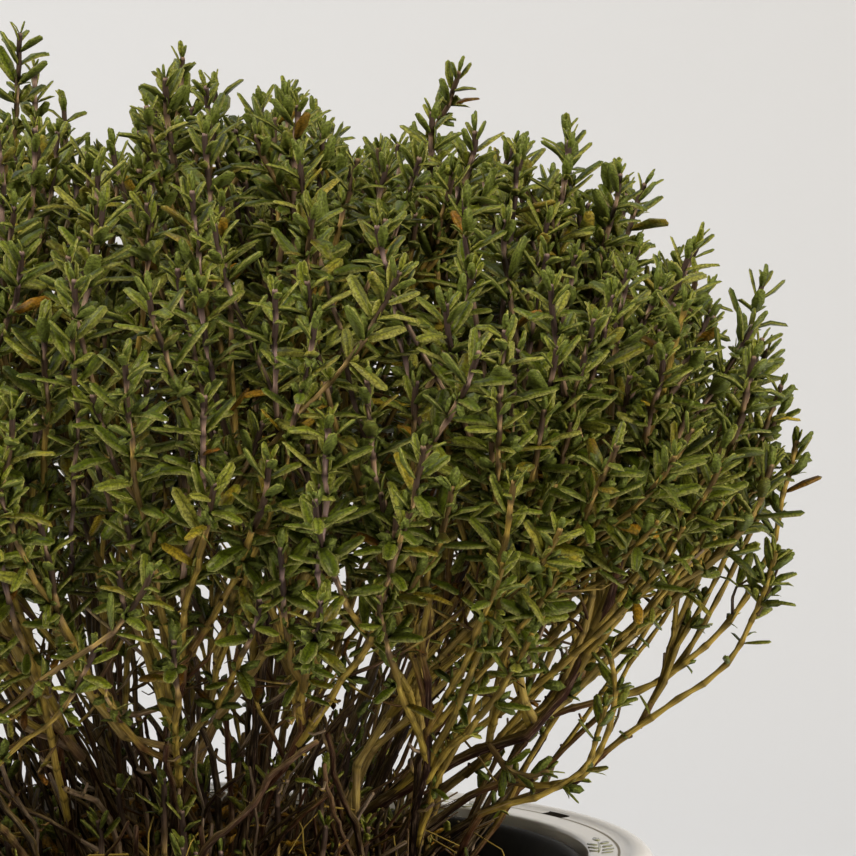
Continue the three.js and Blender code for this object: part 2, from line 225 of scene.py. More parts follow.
def glazeMaterial():
    f = glazeFinish
    material, tree, shader = newMaterial("glazed stoneware", {"Roughness": f["roughness"], "IOR": f["index"]})
    place = add(tree, "TexCoord").outputs["Object"]
    cloud = add(tree, "TexNoise", {"Scale": 1 / (f["cloudMm"] * mm), "Detail": 3.0}, {"Vector": place})
    x, y, z = add(tree, "SeparateXYZ", links={0: place}).outputs
    flat = add(tree, "CombineXYZ", links={0: x, 1: y})
    radius = add(tree, "VectorMath", {"operation": "LENGTH"}, {0: flat}).outputs["Value"]
    onRim = add(tree, "Math", {"operation": "GREATER_THAN", 1: (rimHeight - f["rimDepth"]) * mm}, {0: z})
    rings = {}
    for name, (middle, width) in f["rings"].items():
        ring = add(tree, "Math", {"operation": "COMPARE", 1: middle * mm, 2: width / 2 * mm}, {0: radius})
        rings[name] = add(tree, "Math", {"operation": "MULTIPLY"}, {0: ring, 1: onRim})
    # the dashes are where the angle from the nearest one is small, and whole turns keep it above zero
    angle = add(tree, "Math", {"operation": "ARCTAN2"}, {0: y, 1: x})
    turned = add(tree, "Math", {"operation": "SUBTRACT", 1: math.radians(f["firstDash"] - 720)}, {0: angle})
    nearest = add(tree, "Math", {"operation": "PINGPONG", 1: math.pi / f["dashes"]}, {0: turned})
    short = add(tree, "Math", {"operation": "LESS_THAN", 1: math.radians(f["dashHalfAngle"])}, {0: nearest})
    rings["dash"] = add(tree, "Math", {"operation": "MULTIPLY"}, {0: short, 1: rings["dash"]})
    colour = add(tree, "Mix", {**blend, under: linear(f["white"]), over: linear(f["warm"])}, {share: cloud})
    # the ledge ring is painted a little greyer: painted shade on the ledge
    for name, ring in rings.items():
        colour = add(tree, "Mix", {**blend, over: linear(f[name])}, {share: ring, under: colour})
    # the dashes and the line lie dry on the glaze
    marks = add(tree, "Math", {"operation": "MAXIMUM"}, {0: rings["dash"], 1: rings["line"]})
    gloss = add(tree, "Math", {"operation": "MULTIPLY_ADD", 1: -0.5, 2: 0.5}, {0: marks})
    ripple = add(tree, "Bump", {"Strength": 0.15, "Distance": f["rippleDepth"] * mm}, {"Height": cloud})
    join(tree, shader, {"Base Color": colour, "Specular IOR Level": gloss, "Normal": ripple})
    return material


def grainyMaterial(name, low, high, grainMm, roughness, depthMm):
    # mottled two-tone surface with a bump of the same grain
    material, tree, shader = newMaterial(name, {"Roughness": roughness})
    place = add(tree, "TexCoord").outputs["Object"]
    noise = {"Scale": 1 / (grainMm * mm), "Detail": 4.0, "Roughness": 0.65}
    grain = add(tree, "TexNoise", noise, {"Vector": place})
    colour = add(tree, "ValToRGB", {"stops": [(0.3, low), (0.7, high)]}, {0: grain})
    bump = add(tree, "Bump", {"Strength": 0.6, "Distance": depthMm * mm}, {"Height": grain})
    join(tree, shader, {"Base Color": colour, "Normal": bump})
    return material


finishes = {
    "leaf": leafMaterial(),
    "bark": barkMaterial(),
    "glaze": glazeMaterial(),
    # iron and copper oxide brushed on the slip: an olive that breaks up where the brush ran dry
    "brushwork": grainyMaterial("painted oxide", glazeFinish["brush"], glazeFinish["worn"], 0.8, 0.15, 0.01),
    # moulded polypropylene: matt from the tool, with a little dust
    "plastic": grainyMaterial("moulded polypropylene", "#0f0d0b", "#211d18", 2.5, 0.65, 0.05),
    # peat compost: black-brown crumbs and paler fibre
    "compost": grainyMaterial("peat compost", "#0e0906", "#33241a", 1.6, 0.95, 0.8),
}
print("stage: materials")


def unit(v):
    v = np.asarray(v, float)
    return v / np.maximum(np.linalg.norm(v, axis=-1, keepdims=True), 1e-9)


def makePiece(name, points, faces, finish, floats=None, faceFloats=None, uvs=None):
    # faces is a list of index arrays, one for each face size
    # floats belong to points, faceFloats to faces and uvs to the corners of faces
    points = np.asarray(points, float)
    mesh = bpy.data.meshes.new(name)
    mesh.vertices.add(len(points))
    mesh.vertices.foreach_set("co", (points * mm).astype(np.float32).ravel())
    faces = [np.asarray(f, np.int32) for f in faces if len(f)]
    corners = np.concatenate([f.ravel() for f in faces])
    sizes = np.concatenate([np.full(len(f), f.shape[1]) for f in faces])
    starts = np.concatenate([[0], np.cumsum(sizes)[:-1]]).astype(np.int32)
    mesh.loops.add(len(corners))
    mesh.loops.foreach_set("vertex_index", corners)
    mesh.polygons.add(len(sizes))
    mesh.polygons.foreach_set("loop_start", starts)
    mesh.update(calc_edges=True)
    for domain, group in (("POINT", floats), ("FACE", faceFloats)):
        for key, values in (group or {}).items():
            layer = mesh.attributes.new(key, "FLOAT", domain)
            layer.data.foreach_set("value", np.asarray(values, np.float32))
    for key, values in (uvs or {}).items():
        layer = mesh.uv_layers.new(name=key)
        layer.data.foreach_set("uv", np.asarray(values, np.float32).ravel())
    mesh.polygons.foreach_set("use_smooth", np.ones(len(sizes), bool))
    mesh.materials.append(finishes[finish])
    piece = bpy.data.objects.new(name, mesh)
    bpy.context.scene.collection.objects.link(piece)
    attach(piece, "root")
    return piece


def ringFaces(rows, sides):
    # quads between rows of a tube and triangles on its two ends, whose middles are the last two points
    i = np.arange(sides)
    j = (i + 1) % sides
    k = np.arange(rows - 1)[:, None]
    quads = np.stack([k * sides + i, k * sides + j, (k + 1) * sides + j, (k + 1) * sides + i], -1)
    foot, head = np.full(sides, rows * sides), np.full(sides, rows * sides + 1)
    last = (rows - 1) * sides
    caps = np.vstack([np.stack([j, i, foot], 1), np.stack([last + i, last + j, head], 1)])
    return quads.reshape(-1, 4), caps


def lathe(name, profile, sides, finish, shape=None):
    # closed profile of (radius, height) from the axis back to the axis, turned round Z
    profile = np.asarray(profile, float)
    rings = profile[1:-1]
    turn = np.arange(sides) * 2 * math.pi / sides
    points = np.zeros((len(rings), sides, 3))
    points[:, :, :2] = rings[:, None, :1] * np.stack([np.cos(turn), np.sin(turn)], 1)[None]
    points[:, :, 2] = rings[:, None, 1]
    if shape:
        points = shape(points)
    points = np.vstack([points.reshape(-1, 3), [0, 0, profile[0, 1]], [0, 0, profile[-1, 1]]])
    return makePiece(name, points, ringFaces(len(rings), sides), finish)


def arcPoints(centreR, centreZ, radius, start, end, count):
    turn = np.radians(np.linspace(start, end, count))
    return [(centreR + radius * math.cos(a), centreZ + radius * math.sin(a)) for a in turn]


def bezier(points, t):
    p = [np.asarray(q, float) for q in points]
    t = np.asarray(t)[:, None]
    return (1 - t) ** 3 * p[0] + 3 * (1 - t) ** 2 * t * p[1] + 3 * (1 - t) * t ** 2 * p[2] + t ** 3 * p[3]


coverPot = {
    "rollRadius": 3, "neckRadius": 73.8, "baseRadius": 55, "footChamfer": 2.5, "openingRadius": 68,
    "ledgeDrop": 0.7, "edgeBreak": 0.6, "floor": potFloor, "floorRadius": 50, "sides": 192,
}
ledgeHeight = rimHeight - coverPot["ledgeDrop"]


def makeCoverPot():
    p = coverPot
    roll, neck, opening = p["rollRadius"], p["neckRadius"], p["openingRadius"]
    rollR, rollZ = rimRadius - roll, rimHeight - roll
    ledgeAngle = 180 - math.degrees(math.asin((ledgeHeight - rollZ) / roll))
    foot = p["baseRadius"] - p["footChamfer"]
    side = [(p["baseRadius"], p["footChamfer"]), ((p["baseRadius"] + neck) / 2, rimHeight * 0.28),
            (neck - 2, rimHeight * 0.6), (neck, rimHeight - 3 * roll)]
    profile = [(0, 0), (foot, 0)] + arcPoints(foot, p["footChamfer"], p["footChamfer"], -75, -15, 5)
    profile += [tuple(q) for q in bezier(side, np.linspace(0, 1, 28))]
    profile += arcPoints(rollR, rollZ, roll, -80, ledgeAngle - 4, 22)
    profile += [(neck - 0.1, ledgeHeight + 0.05), (neck - 0.5, ledgeHeight),
                (opening + p["edgeBreak"] + 1.2, ledgeHeight), (opening + p["edgeBreak"], ledgeHeight - 0.05),
                (opening + 0.17, ledgeHeight - 0.25), (opening, ledgeHeight - p["edgeBreak"]),
                (opening, ledgeHeight - 2), (opening, rimHeight * 0.88),
                (p["floorRadius"] + 2, p["floor"] + 2), (p["floorRadius"], p["floor"]), (0, p["floor"])]
    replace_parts(lathe("cover_pot_glazed", profile, p["sides"], "glaze"), "cover_pot")


brushwork = {
    # leafy sprays, painted round the ledge and sunk a little in it
    "sprays": 8, "firstTurn": 3.5, "radius": 70.7, "sunk": -0.2, "thick": 0.05,
    "leaf": [(-0.5, 0), (-0.3, -0.34), (0, -0.5), (0.3, -0.36),
             (0.5, 0), (0.3, 0.36), (0, 0.5), (-0.3, 0.34)],
    # along the ledge, across it, angle, length, width
    "strokes": [(-2.5, -0.4, 4, 13.0, 0.5), (-7.6, 0.8, 42, 3.2, 1.4), (-4.4, 1.0, 36, 3.8, 1.6),
                (-0.9, 1.1, 32, 3.8, 1.6), (2.6, 1.0, 26, 3.8, 1.6), (6.6, 0.2, 4, 4.6, 1.5),
                (-6.0, -1.5, -38, 3.0, 1.3), (-2.4, -1.5, -32, 3.4, 1.4), (1.2, -1.4, -26, 3.4, 1.4)],
}


def makeBrushwork():
    b = brushwork
    count = len(b["leaf"])
    points, quads, tris = [], [], []
    for spray in range(b["sprays"]):
        middle = math.radians(b["firstTurn"] + spray * 360 / b["sprays"])
        for alongShift, acrossShift, angle, length, width in b["strokes"]:
            turn = math.radians(angle)
            base = len(points)
            for height in (b["sunk"], b["thick"]):
                for x, y in b["leaf"]:
                    along = alongShift + x * length * math.cos(turn) - y * width * math.sin(turn)
                    across = acrossShift + x * length * math.sin(turn) + y * width * math.cos(turn)
                    place = middle + along / b["radius"]
                    radius = b["radius"] + across
                    points.append((radius * math.cos(place), radius * math.sin(place), ledgeHeight + height))
            foot, head = points[base:base + count], points[base + count:]
            points += [np.mean(foot, 0), np.mean(head, 0)]
            # the spray's own plane is mirrored, along the ledge by outwards, so its faces turn the other way
            ring, caps = ringFaces(2, count)
            quads.append(ring[:, ::-1] + base)
            tris.append(caps[:, ::-1] + base)
    makePiece("rim_brushwork", points, [np.vstack(quads), np.vstack(tris)], "brushwork")


nurseryPot = {
    "wall": 1.2, "topRadius": 65.6, "bottomRadius": 44.6, "lipRadius": 67.2, "lipHeight": 8,
    "ribDrop": 9, "ribWidth": 1.1, "ribDepth": 0.25, "sides": 160,
}


def linerInside(height):
    # inside radius at a height above the ground
    p = nurseryPot
    low = potFloor + p["wall"]
    return p["bottomRadius"] + (height - low) / (linerTop - low) * (p["topRadius"] - p["bottomRadius"])


def makeNurseryPot():
    p = nurseryPot
    wall, top, lip, bottom = p["wall"], p["topRadius"], p["lipRadius"], p["bottomRadius"]
    lipFoot = linerTop - p["lipHeight"]
    # inside, one shallow moulded rib below the lip
    rib = linerTop - p["ribDrop"]
    inside = [(linerInside(h) - p["ribDepth"] * math.exp(-((rib - h) / p["ribWidth"]) ** 2), h)
              for h in np.linspace(linerTop - 1.2, potFloor + wall + 1, 14)]
    profile = [(0, potFloor), (bottom + wall - 1, potFloor), (bottom + wall, potFloor + 1),
               (linerInside(lipFoot) + wall, lipFoot), (lip - 0.3, lipFoot + wall),
               (lip, lipFoot + wall + 0.5), (lip, linerTop - 0.5), (lip - 0.3, linerTop - 0.1),
               (lip - 0.8, linerTop), (top + 0.3, linerTop - 0.15), (top + 0.03, linerTop - 0.6)]
    profile += inside + [(bottom - 1, potFloor + wall), (0, potFloor + wall)]
    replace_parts(lathe("nursery_pot_moulded", profile, p["sides"], "plastic"), "nursery_pot")


soil = {
    "mound": 6, "wallGap": 0.3, "rings": 34, "sides": 128, "seed": 3,
    "lumps": ((14, 0.7), (5, 0.55), (2.2, 0.3)),  # width and height of the lumps, from clods to crumbs
}
soilRadius = linerInside(soilTop - soil["mound"]) - soil["wallGap"]


def soilSurface(radius):
    return soilTop - soil["mound"] * (radius / soilRadius) ** 2


def onSoil(radius, azimuth, above):
    return np.array([radius * math.cos(azimuth), radius * math.sin(azimuth), soilSurface(radius) + above])


def waves(x, y, seed, size, count=7):
    # smooth repeatable noise, about -1 to 1, with features of the given size
    rng = np.random.default_rng(seed)
    total = np.zeros_like(x, float)
    for _ in range(count):
        turn, phase = rng.uniform(0, 2 * math.pi, 2)
        pitch = 2 * math.pi / (size * rng.uniform(0.7, 1.6))
        total += np.sin((x * math.cos(turn) + y * math.sin(turn)) * pitch + phase)
    return total / math.sqrt(count)


def makeSoil():
    s = soil
    profile = [(0, soilFoot), (linerInside(soilFoot) - s["wallGap"], soilFoot)]
    profile += [(r, soilSurface(r)) for r in np.linspace(soilRadius, 0.6, s["rings"])] + [(0, soilSurface(0))]

    def lumpy(points):
        x, y = points[1:, :, 0], points[1:, :, 1]
        rise = sum(waves(x, y, s["seed"] + k, size) * height for k, (size, height) in enumerate(s["lumps"]))
        points[1:, :, 2] += (rise - 0.4) * np.clip((soilRadius - np.hypot(x, y)) / 3, 0, 1)
        return points

    piece = lathe("potting_soil_surface", profile, s["sides"], "compost", lumpy)
    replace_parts(piece, "potting_soil")


makeCoverPot()
makeBrushwork()
makeNurseryPot()
makeSoil()
print("stage: pots and soil")


# how the bush grows, by the same rule as its solids
bush = {
    "radius": 104, "halfHeight": 71, "centre": level + 75, "ruledStems": 29, "lowestPolar": math.radians(112),
    "rootCircle": 42, "rootLean": math.radians(49), "rootDepth": 7, "turn": math.radians(137.508),
    "firstAzimuth": math.radians(20),
    "shapedFrom": math.radians(-130), "shapedTo": math.radians(14), "shapedPolar": math.radians(46),
    "forkStarts": (0.47, 0.56), "forkSpread": math.radians(15),
    # the corner low on the right where only bare stems cross, open up to these heights along x
    "openPlaces": (50, 62, 90), "openHeights": (38, 58, 66),
}

# stems with routes of their own, as (x, y, height above the level) from root to tip, then their forks
shapedStems = {
    "old_leaning": [
        [(8, -8, -20), (22, -14, 6), (40, -22, 19), (58, -31, 29), (67, -37, 43), (72, -42, 60),
         (78, -48, 86), (82, -50, 101)],
        [(72, -42, 60), (84, -41, 69), (91, -40, 80), (94, -40, 92)],
        [(57, -30, 28), (55, -36, 36), (53, -45, 51), (52, -54, 65), (53, -61, 80), (54, -63, 94)]],
    "low_hooked": [
        [(20, -18, -18), (34, -22, 4), (45, -24, 14), (54, -27, 19), (60, -30, 18), (66, -33, 20),
         (69, -35, 25), (71, -37, 33), (70, -38, 42)]],
    "low_right": [
        [(28, -1, -18), (38, -7, 2), (52, -13, 12), (64, -17, 17), (76, -21, 27), (90, -24, 38),
         (97, -26, 50), (99, -27, 58)],
        [(76, -21, 27), (82, -15, 39), (86, -12, 52), (88, -10, 66)]],
    "outer_right": [
        [(20, 7, -18), (36, 3, 8), (56, -2, 23), (70, -5, 30), (81, -7, 34), (90, -9, 41), (98, -11, 54),
         (101, -12, 63), (104, -12, 76)],
        [(56, -2, 23), (68, 6, 38), (76, 9, 58), (80, 9, 82), (82, 8, 104)]],
    "low_drooping": [
        [(38, -20, -18), (42, -26, -4), (46, -32, 8), (51, -36, 16), (57, -40, 18), (63, -42, 20),
         (67, -44, 25), (69, -47, 34)]],
    "front_right": [
        [(32, -30, -19), (38, -40, 14), (39, -50, 28), (39, -64, 53), (36, -73, 64), (31, -80, 76),
         (30, -84, 90)],
        [(39, -50, 28), (46, -64, 45), (51, -74, 60), (53, -80, 74)]],
    "front_middle": [
        [(4, -22, -17), (8, -31, 8), (12, -41, 20), (18, -50, 28), (20, -61, 40), (22, -73, 53),
         (23, -84, 68), (24, -90, 84)],
        [(18, -50, 28), (26, -62, 40), (32, -74, 53), (35, -85, 70)]],
    "front_upright": [
        [(-6, -26, -17), (-4, -34, 8), (-2, -47, 24), (-1, -62, 42), (1, -74, 56), (4, -86, 72),
         (5, -92, 88)],
        [(-2, -47, 24), (-10, -58, 31), (-14, -67, 41), (-19, -78, 53), (-21, -86, 68)],
        [(-1, -62, 42), (9, -77, 58), (13, -87, 68), (15, -92, 78)]],
    "front_left": [
        [(-20, -24, -18), (-22, -34, 14), (-22, -42, 28), (-25, -50, 39), (-28, -60, 52), (-31, -71, 70),
         (-32, -78, 88)],
        [(-22, -42, 28), (-33, -50, 36), (-42, -60, 50), (-48, -70, 66)]],
}

# these have few shoots and leaves
lowStems = ("stem_low", "stem_outer")


def scatter(i, k):
    # repeatable, from -1 to 1, for stem i and trait k
    wave = math.sin(i * 12.9898 + k * 78.233 + 4.1) * 43758.5453
    return 2 * (wave - math.floor(wave)) - 1


def leaning(lean, azimuth):
    # direction that leans from upright towards an azimuth
    return np.array([math.sin(lean) * math.cos(azimuth), math.sin(lean) * math.sin(azimuth), math.cos(lean)])


def onBush(polar, azimuth, part):
    # point part of the way out to the bush's ellipsoid
    size = np.array([bush["radius"], bush["radius"], bush["halfHeight"]])
    return leaning(polar, azimuth) * size * part + (0, 0, bush["centre"])


def bushShare(points):
    # 1 on the bush's ellipsoid, less inside it
    points = np.atleast_2d(points)
    flat = np.hypot(points[:, 0], points[:, 1]) / bush["radius"]
    return np.hypot(flat, (points[:, 2] - bush["centre"]) / bush["halfHeight"])


def spaced(points, step=1.0):
    # the same line with points at even steps of about the given length
    points = np.asarray(points, float)
    run = np.concatenate([[0], np.cumsum(np.linalg.norm(np.diff(points, axis=0), axis=1))])
    even = np.linspace(0, run[-1], max(4, int(round(run[-1] / step))) + 1)
    return np.stack([np.interp(even, run, points[:, k]) for k in range(3)], 1)


def lineLength(line):
    return float(np.linalg.norm(np.diff(line, axis=0), axis=1).sum())


def growth(start, startWay, end, endWay, startPull=0.43, endPull=0.35):
    # curve between two points with its directions at both, each held for a share of the distance
    reach = np.linalg.norm(end - start)
    return spaced(bezier([start, start + startWay * reach * startPull, end - endWay * reach * endPull, end],
                         np.linspace(0, 1, 80)))


def routed(points):
    # smooth line through given points: centripetal Catmull-Rom
    p = np.array([(x, y, z + level) for x, y, z in points], float)
    p = np.vstack([2 * p[0] - p[1], p, 2 * p[-1] - p[-2]])
    out = []
    t = np.linspace(0, 1, 25)[:-1, None]
    for k in range(1, len(p) - 2):
        d0, d1, d2 = (math.sqrt(np.linalg.norm(p[k + j] - p[k + j - 1])) for j in range(3))
        t1 = ((p[k] - p[k - 1]) / d0 - (p[k + 1] - p[k - 1]) / (d0 + d1) + (p[k + 1] - p[k]) / d1) * d1
        t2 = ((p[k + 1] - p[k]) / d1 - (p[k + 2] - p[k]) / (d1 + d2) + (p[k + 2] - p[k + 1]) / d2) * d1
        c2 = -3 * p[k] + 3 * p[k + 1] - 2 * t1 - t2
        c3 = 2 * p[k] - 2 * p[k + 1] + t1 + t2
        out.append(p[k] + t1 * t + c2 * t ** 2 + c3 * t ** 3)
    return spaced(np.vstack(out + [p[-2:-1]]))


def ruledLines(i):
    # main line and forks of the stem at place i of the rule, or None where the shaped stems are
    b = bush
    part = (i + 0.5) / b["ruledStems"]
    polar = math.acos(1 - part * (1 - math.cos(b["lowestPolar"])))
    azimuth = b["firstAzimuth"] + i * b["turn"] + 0.08 * scatter(i, 2)
    azimuth = math.atan2(math.sin(azimuth), math.cos(azimuth))
    outward = polar / b["lowestPolar"]
    polar += 0.05 * scatter(i, 1)
    size = 0.975 + 0.025 * scatter(i, 3)
    if polar > b["shapedPolar"] and b["shapedFrom"] < azimuth < b["shapedTo"]:
        return None
    rootRadius = b["rootCircle"] * outward ** 0.8
    main = growth(onSoil(rootRadius, azimuth, -b["rootDepth"]), leaning(b["rootLean"] * outward, azimuth),
                  onBush(polar, azimuth, size), leaning(math.radians(20) * math.sin(polar) ** 2, azimuth))
    lines = [main]
    for side, start in zip((-1, 1), b["forkStarts"]):
        place = int(round(start * (len(main) - 1)))
        origin = main[place]
        forkPolar = polar + side * b["forkSpread"] * 0.6
        forkAzimuth = azimuth + side * b["forkSpread"] / max(math.sin(polar), 0.4)
        tip = onBush(forkPolar, forkAzimuth, size * 0.97)
        way = unit(0.25 * unit(main[place + 1] - main[place - 1]) + 0.75 * unit(tip - origin))
        endWay = leaning(math.radians(16) * math.sin(forkPolar) ** 2, forkAzimuth)
        lines.append(growth(origin, way, tip, endWay))
    return lines


stems = {"stem_" + name: [routed(line) for line in lines] for name, lines in shapedStems.items()}
ruled = [lines for lines in (ruledLines(i) for i in range(bush["ruledStems"])) if lines]
for number, lines in enumerate(ruled, 1):
    stems["stem_%02d" % number] = lines
unlike = sorted(set(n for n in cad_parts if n.startswith("stem_")) ^ set(stems))
if unlike:
    raise SystemExit("stems differ from the CAD: " + ", ".join(unlike))


def ways(line):
    return unit(np.gradient(line, axis=0))


def carried(line):
    # the line's direction and two square to it that turn with it as little as possible
    along = ways(line)
    first = np.zeros_like(line)
    seed = np.cross(along[0], (0.0, 1.0, 0.0))
    first[0] = unit(seed if np.linalg.norm(seed) > 0.1 else np.cross(along[0], (1.0, 0.0, 0.0)))
    for k in range(1, len(line)):
        first[k] = unit(first[k - 1] - along[k] * np.dot(first[k - 1], along[k]))
    return along, first, np.cross(along, first)


def at(values, place):
    # values given at even steps along a line, read at places from 0 to 1
    where = np.clip(np.asarray(place, float), 0, 1) * (len(values) - 1)
    low = np.minimum(where.astype(int), len(values) - 2)
    part = where - low
    if values.ndim > 1:
        part = part[..., None]
    return values[low] * (1 - part) + values[low + 1] * part


def around(first, second, place, turn):
    # the way square to a line at a place on it, turned about the line
    return at(first, place) * math.cos(turn) + at(second, place) * math.sin(turn)


def wiggled(line, amount, rng):
    # gentle bends from node to node, none at the two ends
    t = np.linspace(0, 1, len(line))
    length = lineLength(line)
    fade = np.sin(math.pi * t) ** 0.6
    _, first, second = carried(line)
    for way in (first, second):
        total = sum(np.sin(t * length / pitch * 2 * math.pi + rng.uniform(0, anyTurn)) * pitch / 34
                    for pitch in (34, 17, 9))
        line = line + way * (total * fade * amount * 0.6)[:, None]
    return line


shootForm = {
    # radii and ages are at the root end and at the tip, ages from 0, new, to 1, old wood
    # side shoots leave from shootsFrom of the way along
    "main": {"radii": (0.95, 0.38), "age": (1.0, 0.02), "shootsFrom": 0.42},
    "riser": {"radii": (0.6, 0.35), "age": (0.8, 0.02), "shootsFrom": 0.42},
    "fork": {"radii": (0.62, 0.37), "age": (0.55, 0.02), "shootsFrom": 0.34},
    "side": {"radii": (0.5, 0.33), "age": (0.42, 0.02)},
    "stub": {"nodes": np.zeros(0)},
    "seed": 11, "shootsTo": 0.9, "shootGap": 12, "shootLength": (13, 60), "shootRoom": 6.5,
    "taper": 1.25, "thickest": {"stem_old_leaning": 1.45, "stem_low_right": 0.9, "stem_outer_right": 0.95},
    "risers": 3, "wiggle": 1.0, "leafy": 56, "deadTwigs": 0.5, "byHandWidth": 0.84,
    # share of the whole range of ages that a stem runs through, where it isn't all
    "agedTo": {"stem_old_leaning": 0.6},
    # tips tried over the bush's surface and deep inside, and the least gap between tips
    "fillTips": 900, "innerTips": 70, "tipGap": 9.8, "ownTipOnly": ("stem_low_drooping", "stem_low_hooked"),
    # the bush is filled from its top to this far round, and only in part between these heights
    "fillTo": math.radians(118), "fillHeights": (34, 66), "fillShares": (0.12, 1),
    # how far the shoots to those tips reach, and how many of the outer ones are not of the long kind
    "fillReach": (46, 80), "notLong": 0.7, "innerReach": 34,
}

